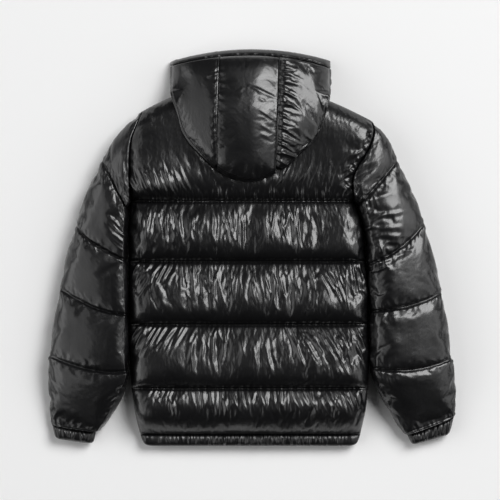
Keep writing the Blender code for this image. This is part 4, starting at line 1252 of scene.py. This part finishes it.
# Runs of gathers, as for the folds: start, end, spacing, lean, near, far, height
CUFF_GATHERS = ((-90, 90, 6.2, 0.0, -10, 40, 2.0), (-90, 90, 7.4, 0.1, -10, 44, 1.6))
HEM_GATHERS = (
    (-125, 125, 5.6, 0.0, -10, 42, 2.2), (-200, 200, 8.5, 0.1, -10, 44, 1.6),
    (-240, 240, 15, 0.0, -10, 44, 1.2),
)
RIM_GATHERS = ((-176, 170, 17.0, 0.5, -6, 14, 0.9), (-176, 170, 31.0, -0.5, -6, 20, 0.9))

elastic = finish_of("elastic casing", BLACK, 0.34, coat=0.15)
rib_noise = add_noise(elastic, 240, 2.0)
add_bumps(elastic, [(rib_noise, 0.0005, 0.4), (add_weave(elastic), WEAVE_DEPTH, 0.4)])
vary_roughness(elastic, add_noise(elastic, 25), 0.28, 0.42)


def band_section(down):
    """Fullness of a band's casing: one soft tunnel from its seam to its edge."""
    return 0.45 + 0.55 * rounded(down / 0.4) * rounded((1 - down) / 0.5)


def wall(name, outer, inner, finish, ring=False):
    """A closed piece between an outer and an inner grid of the same size."""
    rows, columns = outer.shape[:2]
    points = np.concatenate([outer.reshape(-1, 3), inner.reshape(-1, 3)])
    faces = grid_faces(rows, columns, ring)
    faces = faces.tolist() + (faces[:, ::-1] + rows * columns).tolist()
    edges = []
    for row in (0, rows - 1):
        line = [row * columns + c for c in range(columns)]
        edges.append(line + line[:1] if ring else line)
    if not ring:
        edges += [[r * columns + c for r in range(rows)] for c in (0, columns - 1)]
    more = rows * columns
    for line in edges:
        faces += [(a, b, b + more, a + more) for a, b in zip(line, line[1:])]
    return make_piece(name, points, faces, finish)


def casing(node, outer, inner, ring=False):
    """A finished band from its outer and inner rows."""
    piece = wall(node + "_casing", np.array(outer), np.array(inner), elastic, ring)
    return fit(piece, "elastic_bands", node)


def make_cuff(side):
    turn, share = tube_turns(CUFF_COUNT)
    way = np.where(turn < math.pi, 1, -1)
    top = np.stack(sleeve_plan(side, 5.0, share), -1) - (0, SEAM_GAP)
    (ox, oy), (ix, iy) = CUFF_ENDS[side]
    end = np.stack([mix(ox, ix, share), mix(oy, iy, share)], -1)
    along = share * CUFF_WIDTH * way
    away = BAND_STEPS[:, None] * CUFF_HEIGHT
    lift = ridges(along[None, :], away, CUFF_GATHERS, 80 + side)
    outer, inner = [], []
    for down, gather in zip(BAND_STEPS, lift):
        plan = mix(top, end, down)
        width = math.dist(plan[0], plan[CUFF_COUNT // 2])
        inset = np.minimum(share, 1 - share) * width
        plan[:, 1] += CUFF_CORNER * down**2 * (1 - rounded(inset / CUFF_CORNER_WIDTH))
        loft = CUFF_LOFT * band_section(down)
        bulge = rounded(inset / (SIDE_BULGE * loft))
        z = CUFF_PLANE + way * ((loft - 1) * bulge + (gather - 0.8) * rounded(bulge))
        outer.append(np.column_stack([plan, np.maximum(z, 0)]))
        middle = (plan[0] + plan[CUFF_COUNT // 2]) / 2
        plan = middle + (plan - middle) * (1 - CUFF_FOLD / width)
        z = CUFF_PLANE + way * (0.4 + CUFF_OPEN * bulge * smooth(down * 2))
        inner.append(np.column_stack([plan, z]))
    piece = casing("cuff_" + SIDES[side], outer, inner, ring=True)
    return outer[0][1 : CUFF_COUNT // 2]


def make_hem_band():
    """From the zip round the left side over the back and round the right side."""
    travel = np.linspace(-1, 3, HEM_STEPS + 1)
    outer, inner = [], []
    left, right = (float(side_x(side, HEM_SEAM)) for side in SIDES)
    for down in BAND_STEPS:
        low, high = left + HEM_TAPER * down, right - HEM_TAPER * down
        x = np.where(travel <= 0, mix(-ZIP_HALF, low, travel + 1), mix(low, high, travel / 2))
        x = np.where(travel > 2, mix(high, ZIP_HALF, travel - 2), x)
        way = np.where((travel > 0) & (travel <= 2), 1, -1)
        inset = np.minimum(x - low, high - x)
        corner = HEM_CORNER * down**2 * (1 - rounded(inset / HEM_CORNER_WIDTH))
        y = mix(HEM_SEAM - SEAM_GAP, HEM_EDGE, down) + corner
        loft = np.where(way > 0, HEM_LOFT, HEM_PLANE) * band_section(down)
        bulge = rounded(inset / (SIDE_BULGE * loft))
        along, away = x + UNDER_SHIFT * (way < 0), np.full(x.shape, down * HEM_HEIGHT)
        gather = ridges(along, away, HEM_GATHERS, 90)
        z = HEM_PLANE + way * ((loft - 0.8) * bulge + (gather - 0.6) * bulge)
        outer.append(np.stack([x, y, np.maximum(z, 0)], -1))
        centre = (low + high) / 2
        closer = np.where(np.abs(x) > ZIP_HALF + 1, 1 - HEM_FOLD / (high - centre), 1)
        inner.append(np.stack([centre + (x - centre) * closer, y, HEM_PLANE + way * 0.4], -1))
    casing("hem_band", outer, inner)
    return outer[0][(travel > 0.03) & (travel < 1.97)]


def squarish(wave):
    """Turns a sine or cosine into one side of a rounded square, from 0 to 1."""
    return 0.5 + 0.5 * np.sign(wave) * np.abs(wave) ** 0.6


def make_rim():
    turn, _ = tube_turns(RIM_SIDES)
    across, up = squarish(np.cos(turn)), squarish(np.sin(turn))
    outer, inner = [], []
    for x in np.linspace(RIM_LEFT, RIM_RIGHT, RIM_SECTIONS):
        low, high = rim_seam_y(x) + SEAM_GAP, RIM_EDGE_TOP - RIM_EDGE_DROP * (x / RIM_HALF) ** 2
        corner = min(x - RIM_LEFT, RIM_RIGHT - x)
        pinch = 0.3 + 0.7 * rounded(corner / 14)
        thick = mix(RIM_CREST, RIM_EDGE, across) * pinch
        thick = thick * mix(HOOD_EDGE_SHARE, 1, rounded(corner / HOOD_ROUND))
        gather = ridges(np.full(RIM_SIDES, x), across * (high - low), RIM_GATHERS, 95)
        line = np.exp(-(((across - RIM_LINE) / RIM_LINE_WIDTH) ** 2))
        z = thick * up + (up > 0.6) * (gather - RIM_LINE_DEPTH * line) * pinch
        fold = RIM_FOLD * np.exp(-(((up - 0.5) / 0.15) ** 2)) - 0.8 * gather
        y = mix(low, high, across) - fold * (across > 0.9) * pinch
        outer.append(np.stack([np.full(RIM_SIDES, x), y, np.maximum(z, 0)], -1))
        core_y = mix(low, high, mix(0.05, 0.5, across))
        inner.append(np.stack([np.full(RIM_SIDES, x), core_y, thick * mix(0.06, 0.94, up)], -1))
    piece = casing("hood_rim", outer, inner, ring=True)
    return np.array(outer)[:, np.argmin(np.abs(across - RIM_LINE) + (up < 0.6))]


seam_lines = quilt_lines + hood_seams
seam_lines += [make_hem_band(), make_cuff(-1), make_cuff(1), make_rim()]
print("bands: 4, and lines to sew:", len(seam_lines))

# %% [markdown]
# ## Chin pieces
#
# Inside the front neckline the hood continues in two small padded pieces, one on each
# side of the zip. They are seen from below and from the hood's mouth. They are too
# small for the simulation to show, so their few creases are drawn.

# %% Make the chin pieces
CHIN_FOLDS = ((200, 330, 13, 0.2, -6, 30, 1.6),)
CHIN_TURNS, CHIN_ROWS, CHIN_COLUMNS = (80, 8), 40, 24


def make_chin(side):
    turns = np.linspace(*map(math.radians, CHIN_TURNS), CHIN_ROWS)[:, None]
    share = np.linspace(0, 1, CHIN_COLUMNS)[None, :]
    y = NECK_POINT - FRONT_NECK_DEPTH * np.cos(turns) + SEAM_GAP + 0 * share
    reach = NECK_HALF * np.sin(turns) - SEAM_GAP
    x = mix(ZIP_HALF, reach, share)
    plane = MID_PLANE - SEAM_GAP / 2
    edges = rounded((reach - x) / FLOOR_ROUND) * rounded((CHIN_TOP + 0.5 - y) / FLOOR_ROUND)
    loft = STITCH_LOFT + (plane - STITCH_LOFT) * edges
    crease = ridges(y, reach - x, CHIN_FOLDS, 98 + side) * rounded((reach - x) / 6)
    skin = np.stack([side * x, y, np.maximum(plane - loft + crease, 0)], -1)
    name = "chin_" + SIDES[side]
    piece = closed_panel(name + "_panel", skin, np.full(x.shape, plane), nylon)
    fit(piece, "shell", name)
    return y.max() - y.min()


print("chin pieces:", [round(float(make_chin(side))) for side in SIDES], "mm high")

# %% [markdown]
# ## The zip
#
# The zip lies under the jacket in the groove between the fronts: two woven tapes, each
# with a bead that carries the teeth, a slider and its pull. From above it is hidden, but
# anyone who turns the part over sees it. The teeth repeat, so Geometry Nodes set them
# along a line, the left row half a step after the right one.

# %% Zip sizes and finishes
ZIP_CENTRE, TAPE_MIDDLE = 0.4, 9.8
PULL_AXIS = np.array((0.0, 294.0, 1.3))
SLIDER_HALF, SLIDER_LOW, SLIDER_HIGH, SLIDER_ENDS = 4.6, 3.4, 8.6, (-5.0, 9.0)
EAR_INSIDE, EAR_OUTSIDE, EAR_HALF = 2.6, 3.9, 2.0
BAR_RADIUS, PULL_HALF, PULL_THICK, GRIP_HALF = 0.9, 2.2, 1.4, 3.6
TOOTH_PITCH = 2.4

tape_cloth = finish_of("woven tape", (0.012, 0.012, 0.012), 0.8)
add_bumps(tape_cloth, [(add_weave(tape_cloth, 900), 0.0002, 0.6)])
vary_roughness(tape_cloth, add_noise(tape_cloth, 60), 0.7, 0.9)
dark_metal = finish_of("dark satin metal", (0.09, 0.09, 0.095), 0.35, metallic=1.0)
brushing = add_noise(dark_metal, 900, 3.0, stretch=(1, 0.06, 1))
add_bumps(dark_metal, [(brushing, 0.00005, 0.4)])
vary_roughness(dark_metal, add_noise(dark_metal, 200), 0.25, 0.45)
print("zip: teeth every", TOOTH_PITCH, "mm, its pull on an axis at", PULL_AXIS, "mm")


# %% Repeat a shape along paths
def repeat_tree(name, pivot):
    """A Geometry Nodes tree that sets a shape at even steps along its paths."""
    tree = bpy.data.node_groups.new(name, "GeometryNodeTree")
    inputs = {"Paths": "Geometry", "Spacing": "Float", "Shape": "Object", "Finish": "Material"}
    sockets = {}
    for title, kind in inputs.items():
        kind = "NodeSocket" + kind
        sockets[title] = tree.interface.new_socket(title, in_out="INPUT", socket_type=kind)
    tree.interface.new_socket("Pieces", in_out="OUTPUT", socket_type="NodeSocketGeometry")
    kinds = (
        "NodeGroupInput", "GeometryNodeMeshToCurve", "GeometryNodeResampleCurve",
        "GeometryNodeInputTangent", "FunctionNodeAlignRotationToVector",
        "GeometryNodeObjectInfo", "GeometryNodeInstanceOnPoints",
        "GeometryNodeRealizeInstances", "GeometryNodeSetMaterial", "NodeGroupOutput",
    )
    nodes = [tree.nodes.new(kind) for kind in kinds]
    given, curve, even, tangent, turn, source, set_out, real, painted, result = nodes
    even.mode = "LENGTH"
    turn.axis, turn.pivot_axis = "X", pivot
    wires = (
        (given, "Paths", curve, "Mesh"), (curve, "Curve", even, "Curve"),
        (given, "Spacing", even, "Length"), (tangent, "Tangent", turn, "Vector"),
        (given, "Shape", source, "Object"), (even, "Curve", set_out, "Points"),
        (source, "Geometry", set_out, "Instance"), (turn, "Rotation", set_out, "Rotation"),
        (set_out, "Instances", real, "Geometry"), (real, "Geometry", painted, "Geometry"),
        (given, "Finish", painted, "Material"), (painted, "Geometry", result, "Pieces"),
    )
    for node, output, next_node, into in wires:
        tree.links.new(node.outputs[output], next_node.inputs[into])
    return tree, sockets


def repeat_along(name, paths, unit, spacing, finish, pivot="AUTO"):
    """Runs the tree over paths, and keeps its result as one plain mesh."""
    tree, sockets = repeat_tree(name, pivot)
    points, edges = [], []
    for path in paths:
        edges += [(len(points) + i, len(points) + i + 1) for i in range(len(path) - 1)]
        points += (np.asarray(path) * MM).tolist()
    mesh = bpy.data.meshes.new(name + " paths")
    mesh.from_pydata(points, edges, [])
    carrier = add_object(name + "_paths", mesh)
    modifier = carrier.modifiers.new(name, "NODES")
    modifier.node_group = tree
    for title, value in (("Spacing", spacing * MM), ("Shape", unit), ("Finish", finish)):
        modifier[sockets[title].identifier] = value
    graph = bpy.context.evaluated_depsgraph_get()
    made = bpy.data.meshes.new_from_object(carrier.evaluated_get(graph))
    made.shade_smooth()
    for used in (carrier, unit):
        bpy.data.objects.remove(used)
    return add_object(name, made)


def unit_shape(parts):
    """One small mesh from boxes and balls, each (kind, centre, half sizes)."""
    bm = bmesh.new()
    for kind, centre, half in parts:
        if kind == "ball":
            made = bmesh.ops.create_uvsphere(bm, u_segments=6, v_segments=4, radius=1.0)
        else:
            made = bmesh.ops.create_cube(bm, size=2.0)
        bmesh.ops.scale(bm, vec=np.array(half) * MM, verts=made["verts"])
        bmesh.ops.translate(bm, vec=np.array(centre) * MM, verts=made["verts"])
    mesh = bpy.data.meshes.new("unit")
    bm.to_mesh(mesh)
    bm.free()
    return add_object("unit", mesh)


# %% Tapes and teeth
def make_tapes():
    """Both tapes as one piece: at 7 mm each they are too narrow to count as cloth."""
    y = np.arange(HEM_EDGE + 1, ZIP_TOP + 1, 3.0)[:, None]
    share = np.linspace(0, 1, 13)[None, :]
    x = mix(ZIP_CENTRE, ZIP_HALF - SEAM_GAP, share) + 0 * y
    bead = np.exp(-(((x - 1.6) / 0.8) ** 2))
    wave = 0.08 * np.sin(y * 2.1 + x * 3)
    edge = rounded(np.minimum(share, 1 - share) / 0.12)
    half = 0.3 + 0.3 * edge + 0.25 * bead + wave
    bm = bmesh.new()
    for side in (-1, 1):
        low, high = (
            np.stack([side * x, y + 0 * x, TAPE_MIDDLE + way * half], -1) for way in (-1, 1)
        )
        tape = wall("tape", low, high, tape_cloth)
        bm.from_mesh(tape.data)
        bpy.data.objects.remove(tape)
    piece = fit(piece_from("zip_tapes", bm, tape_cloth), "zip_tape", "zip_left", "zip_right")


def make_teeth(side):
    start = HEM_EDGE + 8 + (TOOTH_PITCH / 2 if side < 0 else 0)
    path = [(0, start, TAPE_MIDDLE), (0, PULL_AXIS[1] - 6, TAPE_MIDDLE)]
    body = ("box", (0.0, -side * 1.7, 0.0), (0.5, 1.2, 0.95))
    head = ("ball", (0.0, -side * 0.35, 0.0), (0.8, 0.75, 0.9))
    unit = unit_shape((body, head))
    name = "teeth_" + SIDES[side]
    piece = repeat_along(name, [path], unit, TOOTH_PITCH, dark_metal, pivot="Z")
    fit(piece, "zip_metal")
    return len(piece.data.polygons)


make_tapes()
print("teeth faces:", [make_teeth(side) for side in SIDES])

# %% [markdown]
# The slider and its pull are small castings. Each is made from flat outlines that are
# pulled to a thickness, and a bevel cuts every edge back. A real casting's edges are
# round. This bevel is given no profile, so it leaves a small step along each edge, and
# a profile of 0.5 would make it round. The pull hangs between two ears on a round bar,
# and it is the one thing here that moves.

# %% Slider and pull
def cast(bm, outline, low, high, bevel, plane="xy"):
    """A plate between two levels from a flat outline, with its edges cut back."""
    order = {"xy": (0, 1, 2), "yz": (2, 0, 1)}[plane]
    rings = []
    for level in (low, high):
        corners = [np.array((a, b, level))[list(order)] for a, b in outline]
        rings.append([bm.verts.new((PULL_AXIS + corner) * MM) for corner in corners])
    count = len(outline)
    sides = [(rings[0][i], rings[0][i - 1], rings[1][i - 1], rings[1][i]) for i in range(count)]
    faces = [bm.faces.new(side) for side in sides] + [bm.faces.new(ring) for ring in rings]
    edges = list({edge for face in faces for edge in face.edges})
    bmesh.ops.bevel(bm, geom=edges, offset=bevel * MM, segments=2, affect="EDGES")


def mirrored(right):
    """A whole outline from its right half, given from one end to the other."""
    return right + [(-x, y) for x, y in right[::-1]]


def finish_casting(name, bm, body, node):
    bmesh.ops.recalc_face_normals(bm, faces=bm.faces)
    fit(piece_from(name, bm, dark_metal), "zip_metal", node, body=body)


def make_slider():
    bm = bmesh.new()
    low, high = SLIDER_LOW - PULL_AXIS[2], SLIDER_HIGH - PULL_AXIS[2]
    near, far = SLIDER_ENDS
    right = [
        (3.4, near), (3.9, near + 5), (SLIDER_HALF, far - 5), (SLIDER_HALF, far - 1.5),
        (2.2, far),
    ]
    outline = mirrored(right)
    cast(bm, outline, low, low + 1.8, 0.5)
    cast(bm, [(0.94 * x, y) for x, y in outline], low + 1.4, high, 0.4)
    ear = mirrored([(0.8, -0.8), (1.6, 0.2), (EAR_HALF, low + 0.6)])
    cast(bm, ear, EAR_INSIDE, EAR_OUTSIDE, 0.25, "yz")
    cast(bm, ear, -EAR_OUTSIDE, -EAR_INSIDE, 0.25, "yz")
    finish_casting("zip_slider_body", bm, JACKET, "zip_slider")


def make_pull():
    bm = bmesh.new()
    half = PULL_THICK / 2
    right = [(2.2, -29.4), (GRIP_HALF, -26), (GRIP_HALF, -11), (PULL_HALF, -8), (PULL_HALF, -0.2)]
    cast(bm, mirrored(right), -half, half, 0.3)
    for y in np.arange(-25.0, -12.5, 2.4):
        rib = [(x * 2.6, y + z * 0.6) for x, z in ((-1, -1), (1, -1), (1, 1), (-1, 1))]
        cast(bm, rib, -half - 0.25, half + 0.25, 0.2)
    turns = [math.radians(30 * i) for i in range(12)]
    bar = [(BAR_RADIUS * math.cos(t), BAR_RADIUS * math.sin(t)) for t in turns]
    reach = EAR_INSIDE - SEAM_GAP
    cast(bm, bar, -reach, reach, 0.15, "yz")
    finish_casting("zip_pull_tab", bm, PULL, "zip_pull")


make_slider()
make_pull()
print("slider:", SLIDER_ENDS[1] - SLIDER_ENDS[0], "mm long, with its pull between two ears")

# %% [markdown]
# ## Stitches
#
# Every quilt line is a row of lockstitches about four millimetres long, sunk between
# two bulges. Modelling each by hand is out of the question, so one bead of thread is
# repeated along the lines that the cloth was pinned to. Black thread on black cloth
# hardly shows, but it is what keeps a seam from looking like a plain crease.

# %% Sew the seams
THREAD_STEP = 4.2
thread = finish_of("polyester thread", (0.005, 0.005, 0.0055), 0.85)
thread.node_tree.nodes["Principled BSDF"].inputs["Specular IOR Level"].default_value = 0.05
twist = add_noise(thread, 1500, 2.0, stretch=(1, 1, 0.4))
add_bumps(thread, [(twist, 0.0001, 0.5)])


def make_stitches():
    unit = unit_shape([("ball", (0, 0, 0), (2.1, 0.5, 0.3))])
    paths = [np.asarray(line) + (0, 0, 0.1) for line in seam_lines]
    piece = repeat_along("quilt_stitches", paths, unit, THREAD_STEP, thread)
    fit(piece, "shell")
    return len(piece.data.polygons)


print("faces of the stitches:", make_stitches())

# %% [markdown]
# ## Light, floor and camera
#
# The jacket is seen from straight above. Black gloss shows only what it reflects, so
# the lights are large soft boxes far away, each given by its bearing, how far it stands
# from straight above, and how many degrees of the sky it covers. A strong one on the
# upper right draws the streaks on the folds, with a weak glow around it. Two stand one
# above the other on each side and shade the slopes of the sleeves. None is right above,
# which leaves the level cloth black.

# %% Stage
LAMP_DISTANCE = 12.0
SOFT_BOXES = (
    # name, bearing, degrees from above, degrees wide and high, glow
    ("box on the upper right", 45, 42, (29, 28), 9.4),
    ("glow around it", 45, 43, (42, 38), 0.5),
    ("low box on the left", 180, 66, (64, 26), 1.35),
    ("high box on the left", 180, 49, (68, 46), 0.9),
    ("low box on the right", 0, 66, (54, 26), 0.95),
    ("high box on the right", 0, 51, (58, 42), 0.5),
)
ROOM_COLOUR, ROOM_GLOW, FLOOR_WHITE, FLOOR_SIZE = (0.9, 0.9, 0.9, 1), 0.03, 0.92, 12
# Metres: the camera stands high, so that it sees the jacket almost without perspective
CAMERA_HEIGHT, VIEW_WIDTH, VIEW_LEVEL, VIEW_CENTRE = 9.0, 1.075, 0.03, (-0.0043, -0.0054)


def soft_box(name, bearing, from_above, size, glow):
    """A lamp that covers size degrees of the sky, by its compass bearing from X."""
    light = bpy.data.lights.new(name, "AREA")
    light.shape = "RECTANGLE"
    wide, high = (2 * LAMP_DISTANCE * math.tan(math.radians(turn / 2)) for turn in size)
    light.size, light.size_y = wide, high
    light.energy = glow * math.pi * wide * high
    lamp = add_object(name, light)
    turn, tilt = math.radians(bearing), math.radians(from_above)
    across = Vector((math.cos(turn), math.sin(turn), 0)) * math.sin(tilt)
    lamp.location = LAMP_DISTANCE * (across + Vector((0, 0, math.cos(tilt))))
    lamp.rotation_euler = (-lamp.location).to_track_quat("-Z", "Y").to_euler()


for box in SOFT_BOXES:
    soft_box(*box)

world = bpy.data.worlds.new("room")
world.use_nodes = True
world.node_tree.nodes["Background"].inputs["Color"].default_value = ROOM_COLOUR
world.node_tree.nodes["Background"].inputs["Strength"].default_value = ROOM_GLOW
bpy.context.scene.world = world

bpy.ops.mesh.primitive_plane_add(size=FLOOR_SIZE, location=(0, 0, -0.0005))
floor = bpy.context.object
floor.name = "floor"
floor.data.materials.append(finish_of("pale floor", (FLOOR_WHITE,) * 3, 0.9))

camera_data = bpy.data.cameras.new("camera")
camera_data.sensor_width = 36.0
camera_data.lens = camera_data.sensor_width * (CAMERA_HEIGHT - VIEW_LEVEL) / VIEW_WIDTH
camera = add_object("camera", camera_data)
camera.location = (*VIEW_CENTRE, CAMERA_HEIGHT)
bpy.context.scene.camera = camera
bpy.context.scene.view_settings.view_transform = "Standard"
print("camera lens:", round(camera_data.lens), "mm, soft boxes:", len(SOFT_BOXES))
